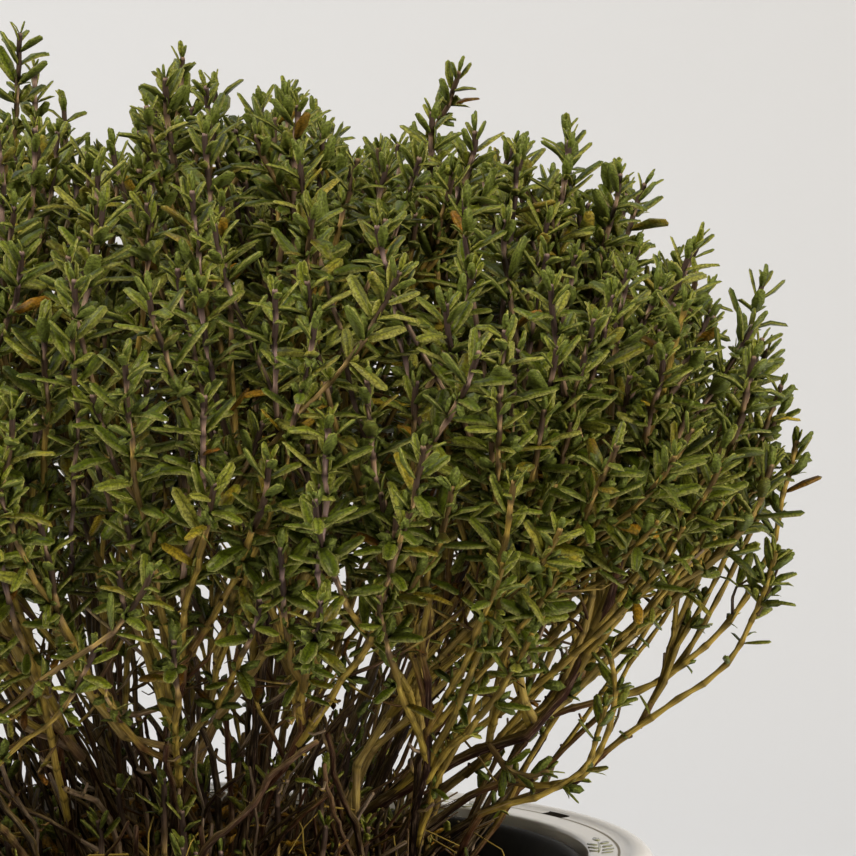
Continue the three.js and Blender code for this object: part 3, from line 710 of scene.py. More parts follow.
# branches with routes of their own, as (x, y, height above the level), each on the shaped stem it names
branches = [
    {"on": "front_upright", "radii": (0.85, 0.6), "age": (0.55, 0.3), "leafy": 26, "route": [
        (-3, -38, 25), (-7, -43, 28), (-11, -47, 29), (-14, -50, 34), (-18, -53, 39), (-21, -58, 48),
        (-23, -66, 60), (-25, -72, 72)]},
    {"on": "front_upright", "radii": (0.6, 0.5), "age": (0.6, 0.6), "leafy": 0, "dead": 0.3, "route": [
        (-14, -50, 34), (-9, -48, 33), (-5, -47, 34), (-3, -46, 37)]},
    {"on": "front_upright", "radii": (0.7, 0.5), "age": (0.5, 0.35), "leafy": 14, "dead": 0.15, "route": [
        (-2, -38, 26), (2, -44, 31), (4, -50, 38), (5, -54, 44), (7, -58, 50), (9, -64, 58)]},
    {"on": "front_left", "radii": (1.15, 0.7), "age": (0.62, 0.3), "leafy": 26, "route": [
        (-19, -38, 24), (-24, -48, 35), (-27, -54, 42), (-30, -60, 49), (-34, -66, 58), (-38, -72, 70)]},
    {"on": "front_left", "radii": (0.75, 0.55), "age": (0.6, 0.6), "leafy": 0, "dead": 0.45, "route": [
        (-21, -40, 26), (-24, -45, 29), (-27, -49, 30), (-28, -50, 32)]},
    {"on": "front_upright", "radii": (1.1, 0.7), "age": (0.62, 0.3), "leafy": 24, "route": [
        (-4, -28, 12), (2, -28, 26), (8, -34, 36), (12, -38, 42), (16, -48, 50), (21, -58, 60),
        (24, -66, 70)]},
    {"on": "front_left", "radii": (0.8, 0.5), "age": (0.6, 0.55), "leafy": 0, "dead": 0.5, "route": [
        (-12, -26, -6), (-14, -34, 11), (-16, -38, 16), (-21, -46, 20)]},
    {"on": "front_left", "radii": (0.9, 0.8), "age": (0.6, 0.55), "leafy": 0, "dead": 0.2, "route": [
        (-27, -28, 1), (-31, -36, 10), (-34, -48, 15)]},
    {"on": "front_middle", "radii": (0.6, 0.45), "age": (0.9, 0.7), "leafy": 0, "dead": 0.75, "route": [
        (4, -26, -4), (8, -32, 13), (12, -36, 19), (15, -40, 23), (17, -44, 27)]},
    {"on": "front_middle", "radii": (0.5, 0.4), "age": (0.8, 0.8), "leafy": 0, "dead": 0.85, "route": [
        (12, -36, 19), (14, -40, 20), (16, -44, 21)]},
    {"on": "old_leaning", "radii": (0.95, 0.6), "age": (0.5, 0.3), "leafy": 22, "dead": 0.12, "route": [
        (41, -23, 20), (39, -33, 28), (38, -42, 35), (39, -48, 43), (40, -53, 51), (37, -58, 58),
        (31, -68, 66), (28, -74, 76)]},
    {"on": "old_leaning", "radii": (0.85, 0.55), "age": (0.48, 0.3), "leafy": 24, "dead": 0.12, "route": [
        (58, -31, 29), (55, -40, 37), (54, -45, 44), (53, -50, 52), (52, -55, 60), (52, -60, 70)]},
    {"on": "old_leaning", "radii": (0.8, 0.6), "age": (0.45, 0.2), "leafy": 15, "route": [
        (50, -27, 25), (51, -33, 32), (52, -38, 40), (55, -46, 50), (58, -54, 60), (60, -60, 72)]},
    {"on": "old_leaning", "radii": (0.6, 0.45), "age": (0.6, 0.5), "leafy": 10, "route": [
        (50, -28, 25), (52, -31, 22), (56, -33, 20), (60, -33, 21)]},
    {"on": "old_leaning", "radii": (0.7, 0.5), "age": (0.42, 0.12), "leafy": 30, "route": [
        (58, -31, 29), (65, -32, 35), (72, -33, 42), (79, -35, 50), (87, -38, 57), (94, -40, 65),
        (97, -41, 74)]},
    {"on": "outer_right", "radii": (0.75, 0.5), "age": (0.45, 0.12), "leafy": 30, "route": [
        (50, -4, 20), (59, -14, 28), (68, -20, 36), (76, -24, 46), (83, -27, 57), (88, -30, 70)]},
    {"on": "outer_right", "radii": (0.8, 0.55), "age": (0.6, 0.3), "leafy": 30, "route": [
        (36, 3, 8), (46, -6, 16), (56, -10, 28), (61, -8, 38), (63, -2, 50), (64, 2, 64)]},
    {"on": "old_leaning", "radii": (0.75, 0.55), "age": (0.42, 0.18), "leafy": 18, "route": [
        (62, -32, 34), (65, -30, 42), (67, -30, 50), (68, -34, 62), (69, -38, 74)]},
    {"on": "low_right", "radii": (0.45, 0.22), "age": (0.9, 1.0), "leafy": 4, "route": [
        (96, -26, 47), (98, -24, 50), (99, -23, 53), (100, -23, 56)]},
    {"on": "outer_right", "radii": (0.4, 0.2), "age": (0.9, 1.0), "leafy": 4, "route": [
        (93, -10, 45), (93, -12, 49), (94, -12, 51), (97, -12, 52)]},
    {"on": "outer_right", "radii": (0.3, 0.2), "age": (0.95, 0.95), "leafy": 0, "dead": 0.3, "route": [
        (74, -6, 31), (73, -11, 28), (72, -14, 26), (70, -19, 24)]},
    {"on": "low_right", "radii": (1.3, 0.8), "age": (1.0, 0.6), "leafy": 30, "route": [
        (18, -8, -14), (17, -6, 6), (22, -4, 16), (27, -1, 27), (31, 4, 38), (35, 10, 52), (40, 16, 70),
        (43, 18, 90), (45, 18, 112)]},
    {"on": "front_right", "radii": (0.9, 0.6), "age": (0.55, 0.28), "leafy": 17, "route": [
        (28, -22, -4), (27, -22, 20), (32, -24, 28), (38, -28, 36), (46, -34, 45), (54, -42, 54),
        (60, -48, 66)]},
    {"on": "front_right", "radii": (0.8, 0.55), "age": (0.6, 0.28), "leafy": 18, "route": [
        (26, -16, -6), (28, -15, 20), (36, -15, 28), (44, -16, 36), (53, -18, 44), (60, -20, 56),
        (64, -22, 70)]},
    {"on": "front_upright", "radii": (0.95, 0.55), "age": (0.9, 0.4), "leafy": 26, "route": [
        (-8, -16, -12), (-9, -12, 8), (-12, -14, 20), (-16, -18, 34), (-15, -26, 46), (-12, -34, 60),
        (-10, -40, 76)]},
]

# tips that make the bush's outline from the front, as (x, y, height above the level)
outlineTips = [
    (-33, 4, 150), (-21, -14, 124), (-10, -22, 130), (-4, 2, 146), (10, 6, 136), (15, -2, 141), (22, 4, 132),
    (25, -24, 128), (37, -8, 134), (45, 8, 142), (55, 10, 133), (64, -2, 131), (78, 2, 121), (87, -10, 112),
    (99, 0, 104), (101, -14, 86), (-46, 6, 140), (-60, -4, 128), (-74, 4, 118), (-86, -6, 104), (0, 30, 142),
    (-28, 34, 138), (32, 38, 134),
]

# how high the bush reaches along x, which leaves dips between its spires
skyline = [
    (-104, 118), (-90, 126), (-80, 117), (-68, 134), (-57, 126), (-46, 146), (-41, 136), (-34, 153),
    (-26, 134), (-19, 129), (-13, 131), (-3, 148), (5, 133), (13, 142), (19, 136), (25, 128), (37, 132),
    (45, 144), (52, 133), (58, 129), (64, 133), (70, 126), (78, 125), (88, 113), (100, 107), (106, 96),
]


def highest(x):
    # how high a stem may end for its leaves to stay under the skyline
    return level + np.interp(x, *zip(*skyline)) - 3


def trimmed(line):
    # the line, cut where it would rise too high
    over = line[:, 2] > highest(line[:, 0])
    return line[:max(int(np.argmax(over)), len(line) * 4 // 5)] if over.any() else line


def underSkyline(tip):
    return np.array([tip[0], tip[1], min(tip[2], highest(tip[0]))])


def newAxis(kind, line, leafy, pale, **own):
    # leafy is how far down from the tip its leaves live, and pale is added to its age
    return {"kind": kind, "line": line, "leafy": leafy, "pale": pale, "dead": 0.0, **shootForm[kind], **own}


def shootTo(parent, place, tip, rng):
    # side shoot of an axis, from a place on it up to a tip
    line = parent["line"]
    k = min(max(int(round(place * (len(line) - 1))), 1), len(line) - 2)
    start = line[k]
    aim = unit(tip - start)
    startWay = unit(unit(line[k + 1] - line[k - 1]) * 0.35 + aim * 0.75)
    outward = np.array([tip[0], tip[1], 0]) / bush["radius"]
    endWay = unit(aim * 0.55 + np.array([0, 0, 0.75]) + outward * 0.22)
    child = wiggled(growth(start, startWay, tip, endWay, 0.35, 0.3), shootForm["wiggle"] * 0.5, rng)
    length = lineLength(child)
    side = shootForm["side"]
    thick = min(np.interp(place, (0, 1), parent["radii"]) * 0.85, side["radii"][0] + length * 0.003)
    old = min(np.interp(place, (0, 1), parent["age"]), 0.3 + length * 0.003)
    return newAxis("side", child, min(length * 0.92, shootForm["leafy"]), parent["pale"],
                   radii=(thick, side["radii"][1]), age=(old, side["age"][1]))


def nearestTip(tip, tips):
    return float(np.min(np.linalg.norm(np.array(tips) - tip, axis=1)))


def mainAxes(rng):
    # each stem's own line, its forks, the listed branches and a few thin stems that rise beside it
    s = shootForm
    stemAxes = {}
    for name, lines in stems.items():
        pale = rng.uniform(-0.13, 0.1)
        main = trimmed(wiggled(lines[0], s["wiggle"], rng))
        thick = s["thickest"].get(name, s["main"]["radii"][0] * rng.uniform(0.85, 1.1))
        axes = [newAxis("main", main, min(s["leafy"], 0.42 * lineLength(main)), pale,
                        radii=(thick, s["main"]["radii"][1]), agedTo=s["agedTo"].get(name, 1))]
        for fork in lines[1:]:
            fork = trimmed(wiggled(fork, s["wiggle"] * 0.8, rng))
            axes.append(newAxis("fork", fork, min(s["leafy"], 0.6 * lineLength(fork)), pale))
        stemAxes[name] = axes
        if name.removeprefix("stem_") in shapedStems:
            continue
        for _ in range(s["risers"]):
            k = int(len(main) * rng.uniform(0.06, 0.2))
            end = main[-1] - (0, 0, bush["centre"])
            polar = math.atan2(np.hypot(end[0], end[1]) / bush["radius"], end[2] / bush["halfHeight"])
            azimuth = math.atan2(end[1], end[0]) + rng.uniform(-0.55, 0.55)
            polar = min(max(polar + rng.uniform(-0.3, 0.22), 0.1), 1.95)
            tip = underSkyline(onBush(polar, azimuth, rng.uniform(0.9, 0.99)))
            way = unit(unit(main[k + 3] - main[k]) + rng.normal(0, 0.12, 3))
            endWay = leaning(math.radians(18) * math.sin(polar) ** 2, azimuth)
            riser = wiggled(growth(main[k], way, tip, endWay), s["wiggle"] * 1.2, rng)
            ownPale = pale + rng.uniform(-0.1, 0.1)
            radii = (s["riser"]["radii"][0] * rng.uniform(0.7, 1.15), s["riser"]["radii"][1])
            axes.append(newAxis("riser", riser, s["leafy"], ownPale, radii=radii))
    for branch in branches:
        line = wiggled(routed(branch["route"]), s["wiggle"] * 0.3, rng)
        radii = tuple(radius * s["byHandWidth"] for radius in branch["radii"])
        axis = newAxis("fork", line, branch["leafy"], 0.0, radii=radii, age=branch["age"],
                       dead=branch.get("dead", 0.16), byHand=True)
        stemAxes["stem_" + branch["on"]].append(axis)
    return stemAxes


def inOpenCorner(tip):
    places, heights = bush["openPlaces"], bush["openHeights"]
    return tip[0] > places[0] and tip[2] < level + np.interp(tip[0], places, heights)


def nodeShoots(stemAxes, tips, rng):
    # side shoots at the nodes, each growing up beside the axis that bears it
    s = shootForm
    for name, axes in stemAxes.items():
        low = name.startswith(lowStems)
        for parent in list(axes):
            length = lineLength(parent["line"])
            if parent["leafy"] < 12:
                continue
            along, first, second = carried(parent["line"])
            begin, end = parent["shootsFrom"], s["shootsTo"]
            count = max(1, int((end - begin) * length / s["shootGap"]))
            turn = rng.uniform(0, anyTurn)
            for n in range(count):
                place = begin + (end - begin) * (n + rng.uniform(0.2, 0.8)) / count
                turn += math.pi / 2 + rng.normal(0, 0.3)
                reach = np.clip(length * (1 - place) * rng.uniform(0.55, 0.98), *s["shootLength"])
                out = around(first, second, place, turn)
                start = at(parent["line"], place)
                heading = unit(at(along, place) * 0.55 + np.array([0, 0, 0.45]))
                tip = start + reach * unit(heading + out * math.tan(rng.uniform(0.25, 0.5)))
                # none past the bush's surface, which lies lower at its top
                if bushShare(tip)[0] > (0.94 if tip[2] > bush["centre"] + 35 else 0.985):
                    tip = start + (tip - start) * 0.75
                tip = underSkyline(tip)
                if low and parent["kind"] == "main" and rng.uniform() < 0.7:
                    continue
                if nearestTip(tip, tips) < s["shootRoom"] or inOpenCorner(tip):
                    continue
                axes.append(shootTo(parent, place, tip, rng))
                tips.append(tip)


def reachTip(stemAxes, tip, far):
    # the axis, and the place on it, that a shoot to that tip leaves best
    # a bend costs most, then a length unlike the usual one, and short or flat shoots are all but barred
    best = None
    for name, axes in stemAxes.items():
        for axis in axes:
            if axis.get("twig") or axis["leafy"] < 12 or name in shootForm["ownTipOnly"]:
                continue
            gap = tip - axis["line"]
            distance = np.linalg.norm(gap, axis=1)
            bend = 1 - np.einsum("ij,ij->i", gap / distance[:, None], axis["ways"])
            cost = bend * 40 + np.abs(distance - far) * 0.6 + (distance < 20) * 60 + (gap[:, 2] < 12) * 80
            cost[:3] += 100
            k = int(np.argmin(cost))
            if best is None or cost[k] < best[0]:
                best = (cost[k], name, axis, k / (len(axis["line"]) - 1))
    return best[1:]


def addTwig(stemAxes, tips, tip, far, rng):
    tip = underSkyline(tip)
    name, parent, place = reachTip(stemAxes, tip, far)
    stemAxes[name].append({**shootTo(parent, place, tip, rng), "twig": True})
    tips.append(tip)


def makeAxes():
    # every axis of every stem: its line, radii and ages, and how much of it is leafy
    s = shootForm
    rng = np.random.default_rng(s["seed"])
    stemAxes = mainAxes(rng)
    tips = [axis["line"][-1] for axes in stemAxes.values() for axis in axes if axis["leafy"] > 12]
    nodeShoots(stemAxes, tips, rng)
    for axis in (axis for axes in stemAxes.values() for axis in axes):
        axis["ways"] = ways(axis["line"])
    for x, y, height in outlineTips:
        addTwig(stemAxes, tips, np.array([x, y, level + height], float), s["fillReach"][0], rng)
    # then the places on the bush's surface that no tip is near yet
    for i in range(s["fillTips"]):
        polar = math.acos(1 - (i + 0.5) / s["fillTips"] * (1 - math.cos(s["fillTo"])))
        azimuth = math.atan2(math.sin(i * bush["turn"]), math.cos(i * bush["turn"]))
        low, high = (0.79, 0.93) if polar < math.radians(60) else (0.82, 1.0)
        tip = onBush(polar, azimuth, rng.uniform(low, high))
        chance = rng.uniform()
        if chance > np.interp(tip[2] - level, s["fillHeights"], s["fillShares"]) or inOpenCorner(tip):
            continue
        # closer on the right, and further apart at the back
        crowding = 0.74 if tip[0] > 76 else 0.86 if tip[0] > 48 else 1.06 if tip[1] > 20 else 1.0
        if nearestTip(tip, tips) > s["tipGap"] * crowding:
            addTwig(stemAxes, tips, tip, s["fillReach"][0 if chance < s["notLong"] else 1], rng)
    # and some deep inside, where little light comes
    for i in range(s["innerTips"]):
        azimuth = i * bush["turn"] + 1
        tip = onBush(math.radians(rng.uniform(5, 105)), azimuth, rng.uniform(0.4, 0.78))
        if nearestTip(tip, tips) > s["tipGap"] * 0.8:
            addTwig(stemAxes, tips, tip, s["innerReach"], rng)
    return stemAxes


stemAxes = makeAxes()
print("stage: axes,", sum(len(axes) for axes in stemAxes.values()), "in", len(stemAxes), "stems")


woodForm = {
    "sides": {"main": 8, "fork": 6, "riser": 5, "side": 4, "stub": 4},
    "step": {"main": 2.6, "fork": 4.0, "riser": 4.5, "side": 5.0, "stub": 5.0},
    "swell": 0.45, "nodeWidth": 0.6, "buttress": 1.1, "stubShare": 0.42,
    # flutes of an old stem: how many go round it, and the length in which they turn
    "flutes": ((3, 31), (5, 17), (4, 7)), "fluteDepth": 0.09,
    # ages along a stem, from its root up
    "agePlaces": (0, 0.3, 0.48, 0.6, 0.7, 1), "ages": (1.0, 0.9, 0.74, 0.44, 0.14, 0.0),
    # leaf nodes down from the tip: the first gap, its growth, and the widest, on leafy and on bare wood
    "firstGap": 1.4, "leafyGap": (0.6, 5.3), "bareGap": (1.2, 10.5),
    # where the stems stay golden up to these heights, on the right side
    "golden": 0.4, "goldenHeights": (58, 98), "goldenPlaces": (22, 46),
    # pegs left by side shoots: few are long and dry, most are short stumps
    "seed": 29, "dryPegs": 0.25, "dryPeg": (2.5, 6.0), "stump": (0.8, 1.9), "pegRadius": (0.28, 0.5),
    "twigLength": (7, 26), "twigRadius": (0.24, 0.42),
}


def nodePlaces(axis, rng):
    # distances from the tip of every leaf node: close at the tip, then wider
    length = lineLength(axis["line"])
    places = []
    gap, run = woodForm["firstGap"], 0.5
    while run < length - 2:
        places.append(run)
        run += gap * rng.uniform(0.85, 1.15)
        wider, widest = woodForm["leafyGap" if run < axis["leafy"] else "bareGap"]
        gap = min(gap + wider, widest)
    return np.array(places)


def jointed(axis, rng):
    # the same line, straight from node to node
    length = lineLength(axis["line"])
    place = np.concatenate([[0], 1 - axis["nodes"][::-1] / length, [1]])
    points = at(axis["line"], place)
    bend = rng.normal(0, 0.2, (len(points) - 2, 3))
    points[1:-1] += bend * np.clip(np.diff(place)[1:, None] * length / 5, 0, 1)
    return spaced(points)


def radiusAt(axis, t):
    thick, thin = axis["radii"]
    return thin + (thick - thin) * (1 - t) ** shootForm["taper"]


def ageAlong(axis, t):
    old, new = axis["age"]
    if axis["kind"] == "main":
        age = np.interp(t * axis["agedTo"], woodForm["agePlaces"], woodForm["ages"])
    elif axis.get("byHand"):
        age = np.interp(t, (0, 1), (old, new))
    else:
        age = np.interp(t, (0, 0.55, 0.78, 1), (old, old * 0.6 + 0.1, 0.12, new))
    x, _, z = at(axis["line"], t).T
    golden = woodForm["golden"] * np.interp(z - level, woodForm["goldenHeights"], (1, 0))
    golden = golden * np.interp(x, woodForm["goldenPlaces"], (0, 1))
    return np.clip(np.maximum(age + axis["pale"], golden), 0, 1)


def growTube(wood, axis, rng):
    # tube along an axis, swollen and ringed at its nodes, and fissured where it is old
    form = woodForm
    line, kind = axis["line"], axis["kind"]
    length = lineLength(line)
    sides = form["sides"][kind]
    nodes = length - axis["nodes"]
    bare = nodes[nodes < length - axis["leafy"]]
    marks = np.concatenate([nodes, bare - form["nodeWidth"], bare + form["nodeWidth"]])
    marks = marks[(marks > 0.3) & (marks < length - 0.3)]
    steps = np.linspace(0, length, max(3, int(length / form["step"][kind])))
    grid = np.unique(np.round(np.concatenate([steps, marks]), 2))
    grid = grid[np.concatenate([[True], np.diff(grid) > 0.35])]
    t = np.clip(grid / length, 0, 1)
    centre = at(line, t)
    along, first, second = carried(line)
    one, two = unit(at(first, t)), unit(at(second, t))
    age = ageAlong(axis, t)
    radius = radiusAt(axis, t)
    if kind == "main":
        radius = radius + form["buttress"] * np.exp(-grid / 7.0)
    ringed, scar = np.zeros_like(grid), np.zeros_like(grid)
    if len(nodes):
        gaps = grid[:, None] - nodes[None]
        ringed = np.exp(-(gaps / form["nodeWidth"]) ** 2).max(1)
        scar = np.exp(-(gaps / (form["nodeWidth"] * 0.7)) ** 2).max(1)
    radius = radius * (1 + form["swell"] * ringed * np.clip(1.25 - age, 0.25, 1))
    turn = np.arange(sides) * 2 * math.pi / sides
    old = np.clip(age * 1.7 - 0.6, 0, 1)[:, None]
    rough = 1 + rng.normal(0, 0.06, (len(grid), sides)) * old
    if kind == "main":
        for lobes, pitch in form["flutes"]:
            wave = np.sin(lobes * turn[None] + rng.uniform(0, anyTurn) + grid[:, None] / pitch * anyTurn)
            rough += form["fluteDepth"] * wave * old
    ring = one[:, None] * np.cos(turn)[None, :, None] + two[:, None] * np.sin(turn)[None, :, None]
    points = centre[:, None] + ring * (radius[:, None] * rough)[:, :, None]
    rows, base = len(grid), wood["count"]
    wood["points"] += [points.reshape(-1, 3), centre[:1], centre[-1:] + along[-1:] * radius[-1] * 0.6]
    quads, caps = ringFaces(rows, sides)
    wood["quads"].append(quads + base)
    wood["tris"].append(caps + base)
    girth = np.arange(sides + 1) / sides * 2 * math.pi * float(radius.mean()) * mm
    run = grid * mm
    i = np.arange(sides)
    u = np.stack([girth[i], girth[i + 1], girth[i + 1], girth[i]], -1)[None].repeat(rows - 1, 0)
    v = np.stack([run[:-1], run[:-1], run[1:], run[1:]], -1)[:, None].repeat(sides, 1)
    wood["quadUv"].append(np.stack([u, v], -1).reshape(-1, 2))
    wood["triUv"].append(np.zeros((len(caps) * 3, 2)))
    scar = scar * np.clip(1.1 - age, 0.1, 1)
    for key, values in (("stemAge", age), ("stemScar", scar), ("stemDead", np.full(rows, axis["dead"]))):
        wood[key] += [values.repeat(sides), values[:1], values[-1:]]
    # how far each point faces up, the mask of the painted highlight on the top of the stems
    up = np.clip(ring[:, :, 2] * 0.8 + 0.2, 0, 1)
    wood["stemUp"] += [up.ravel(), up[0, :1], up[-1, :1]]
    wood["count"] += rows * sides + 2


def growStubs(wood, axis, rng):
    # short dry pegs where side shoots broke off the bare part of an axis
    form = woodForm
    length = lineLength(axis["line"])
    if axis["kind"] == "side" and axis["leafy"] > length - 12:
        return
    along, first, second = carried(axis["line"])
    for run in axis["nodes"]:
        place = 1 - run / length
        if run < axis["leafy"] * 0.8 or place < 0.05 or rng.uniform() > form["stubShare"]:
            continue
        out = unit(around(first, second, place, rng.uniform(0, anyTurn)))
        way = unit(at(along, place) * rng.uniform(0.3, 0.9) + out)
        dry = rng.uniform() < form["dryPegs"]
        reach = rng.uniform(*form["dryPeg" if dry else "stump"])
        radius = radiusAt(axis, place)
        start = at(axis["line"], place) + out * radius * 0.4
        line = spaced([start, start + way * reach * 0.5, start + unit(way + (0, 0, 0.3)) * reach], 0.5)
        thick = min(radius * 0.7, rng.uniform(*form["pegRadius"]))
        peg = newAxis("stub", line, 0, axis["pale"], radii=(thick, thick * 0.75), age=(0.6, 0.9),
                      dead=rng.uniform(0.3, 0.9) if dry else 0.0)
        growTube(wood, peg, rng)


def growDeadTwigs(wood, leaves, axis, rng):
    # thin dark twigs, dead or nearly, from the shaded part of an axis
    length = lineLength(axis["line"])
    along, first, second = carried(axis["line"])
    for run in axis["nodes"]:
        place = 1 - run / length
        start = at(axis["line"], place)
        if run < axis["leafy"] or start[2] < level + 4 or bushShare(start)[0] > 0.85:
            continue
        if rng.uniform() > shootForm["deadTwigs"]:
            continue
        out = around(first, second, place, rng.uniform(0, anyTurn))
        way = unit(at(along, place) * rng.uniform(0.5, 1.3) + out)
        reach = rng.uniform(*woodForm["twigLength"])
        tip = start + unit(way + rng.normal(0, 0.35, 3) + (0, 0, 0.25)) * reach
        line = growth(start, way, tip, unit(way + (0, 0, 0.6)))
        thick = rng.uniform(*woodForm["twigRadius"])
        twig = newAxis("stub", line, 0, 0.0, radii=(thick, thick * 0.6), age=(0.8, 1.0),
                       dead=rng.choice([0.0, 0.1, 0.5], p=(0.6, 0.25, 0.15)))
        twig["nodes"] = nodePlaces(twig, rng)[2:]
        twig["line"] = jointed(twig, rng)
        growTube(wood, twig, rng)
        for spot in rng.uniform(0.3, 1, 3):
            if rng.uniform() < 0.6:
                side = unit(rng.normal(0, 1, 3))
                long = rng.uniform(3, 5.5)
                putLeaf(leaves, "small", at(twig["line"], spot), unit(way + side), (0.0, 0.0, 1.0),
                        long, long * 0.34, curl=rng.uniform(0, 0.8), tone=rng.uniform(0, 0.4),
                        dry=rng.choice([0, 0.5, 1.0]))


def newWood():
    return {"count": 0, **{key: [] for key in ("points", "quads", "tris", "quadUv", "triUv") + woodTraits}}


def woodPiece(name, wood):
    floats = {key: np.concatenate(wood[key]) for key in woodTraits}
    return makePiece(name, np.vstack(wood["points"]), [np.vstack(wood["quads"]), np.vstack(wood["tris"])],
                     "bark", floats, uvs={"barkRun": np.vstack(wood["quadUv"] + wood["triUv"])})


leafForm = {
    # slim is width over length, curl the mean and the spread in degrees, aside degrees off a tuft's middle
    "length": 8.1, "slim": (0.285, 0.355), "curl": (22, 20),
    "smallLength": (2.4, 4.8), "smallSlim": (0.34, 0.42), "smallCurl": (16, 12), "smallAside": (16, 44),
    # by node from the tip down: share of full length, and degrees off the stem
    "sizes": (0.42, 0.58, 0.76, 0.9, 1.0, 1.02, 1.0, 0.97, 0.92),
    "angles": (12, 25, 37, 44, 49, 53, 56, 60, 64),
    # heights over which the leaves thin out downwards, and the share that lives at each
    "litHeights": (18, 34, 50, 68), "litShares": (0.05, 0.14, 0.45, 1),
    # shares of leaves kept on leafy wood, on bare wood and on the bare wood of sparse stems
    "kept": 0.96, "keptBare": 0.24, "keptSparse": 0.14,
    # shares of leaves that are dry, and dry or drying
    "dry": 0.03, "drying": 0.16,
    # shares of pairs without a tuft, on lit and on other wood, and without the fuller one
    "tuftless": 0.16, "tuftlessShade": 0.55, "halfTuft": 0.66,
}

# sections are (across, up, rolled margin, midrib), stations run along the leaf with its width there
leafShapes = {
    "big": {"stations": (0.14, 0.54, 0.92), "widths": (0.55, 1.0, 0.66), "section": [
        (-0.50, -0.15, 1, 0), (-0.28, 0.10, 0, 0), (0, 0.01, 0, 1), (0.28, 0.10, 0, 0), (0.50, -0.15, 1, 0)]},
    "plain": {"stations": (0.26, 0.84), "widths": (0.9, 0.88), "section": [
        (-0.5, -0.1, 1, 0), (0, 0.07, 0, 1), (0.5, -0.1, 1, 0), (0, -0.15, 0.3, 0)]},
    "small": {"stations": (0.3, 0.78), "widths": (0.9, 0.9), "section": [
        (-0.5, 0.1, 1, 0), (0, 0.0, 0, 0.6), (0.5, 0.1, 1, 0)]},
}


def leafTemplate(shape):
    stations, widths = shape["stations"], shape["widths"]
    section = np.array(shape["section"], float)
    sides, rows = len(section), len(stations)
    points = [(x, across * width, up * (0.45 + 0.55 * width))
              for x, width in zip(stations, widths) for across, up, *_ in section]
    edge = np.concatenate([np.tile(section[:, 2], rows), [0.6, 0.6]])
    vein = np.concatenate([np.tile(section[:, 3], rows), [0.6, 0.1]])
    quads, caps = ringFaces(rows, sides)
    # the section runs clockwise seen from the leaf's tip, so its faces turn the other way
    quads, caps = quads[:, ::-1], caps[:, ::-1]
    # the underside is between the two margins: the last side of an odd section, the last two of four
    below = np.arange(sides) >= sides - (2 if sides == 4 else 1)
    sections = np.concatenate([np.tile(np.arange(sides), rows), [sides / 2, sides / 2]])
    runs = np.concatenate([np.repeat(stations, sides), [0, 1]])

    def unwrapped(faces):
        # across the cell round the section, up it along the leaf, with the last side's seam closed at 1
        u = sections[faces] / sides
        wraps = (u.max(1, keepdims=True) - u > 0.5) & (u == 0)
        return np.stack([np.where(wraps, 1.0, u), runs[faces]], -1)

    return {"points": np.array(points + [(0, 0, -0.05), (1, 0, -0.06)]), "edge": edge, "vein": vein,
            "quads": quads, "tris": caps, "below": (np.tile(below, rows - 1), np.tile(below, 2)),
            "uvs": (unwrapped(quads), unwrapped(caps))}


leafTemplates = {kind: leafTemplate(shape) for kind, shape in leafShapes.items()}


def leafPiece(name, leaves):
    # leaves is {kind: rows of base, way, up, length, width, curl, twist, tone, young, dry}
    groups = [(leafTemplates[kind], np.array(rows)) for kind, rows in leaves.items() if rows]
    columns = math.ceil(math.sqrt(sum(len(rows) for _, rows in groups)))
    points, faces, uvs, below = [], ([], []), ([], []), ([], [])
    floats = {key: [] for key in leafTraits if key != "leafUnder"}
    base, cell = 0, 0
    for form, rows in groups:
        x, y, z = form["points"].T
        root, way, up = rows[:, 0:3], unit(rows[:, 3:6]), rows[:, 6:9]
        up = unit(up - way * np.sum(up * way, 1, keepdims=True))
        side = np.cross(up, way)
        length, width, curl, twist = (rows[:, c:c + 1] for c in (9, 10, 11, 12))
        curl = np.where(np.abs(curl) < 1e-3, 1e-3, curl)
        turned = twist * x[None]
        across = (y * np.cos(turned) - z * np.sin(turned)) * width
        lift = (y * np.sin(turned) + z * np.cos(turned)) * width
        arc = curl * x[None]
        forward = length * np.sin(arc) / curl + lift * np.sin(arc)
        rise = -length * (1 - np.cos(arc)) / curl + lift * np.cos(arc)
        points.append((root[:, None] + way[:, None] * forward[..., None] + side[:, None] * across[..., None]
                       + up[:, None] * rise[..., None]).reshape(-1, 3))
        count, each = len(rows), len(x)
        shift = base + np.arange(count)[:, None, None] * each
        place = cell + np.arange(count)
        corner = np.stack([place % columns, place // columns], 1) / columns
        for k, key in enumerate(("quads", "tris")):
            faces[k].append((form[key][None] + shift).reshape(-1, form[key].shape[1]))
            inCell = 0.06 + 0.88 * form["uvs"][k].reshape(1, -1, 2)
            uvs[k].append((corner[:, None] + inCell / columns).reshape(-1, 2))
            below[k].append(np.tile(form["below"][k], count))
        for column, key in ((13, "leafTone"), (14, "leafYoung"), (15, "leafDry")):
            floats[key].append(rows[:, column].repeat(each))
        floats["leafEdge"].append(np.tile(form["edge"], count))
        floats["leafVein"].append(np.tile(form["vein"], count))
        base += count * each
        cell += count
    floats = {key: np.concatenate(values) for key, values in floats.items()}
    return makePiece(name, np.vstack(points), [np.vstack(faces[0]), np.vstack(faces[1])], "leaf",
                     floats, {"leafUnder": np.concatenate(below[0] + below[1])},
                     {"OFBake": np.vstack(uvs[0] + uvs[1])})


def putLeaf(leaves, kind, base, way, up, length, width, curl=0.0, twist=0.0, tone=0.5, young=0.0, dry=0.0):
    leaves[kind].append(np.concatenate([base, way, up, [length, width, curl, twist, tone, young, dry]]))


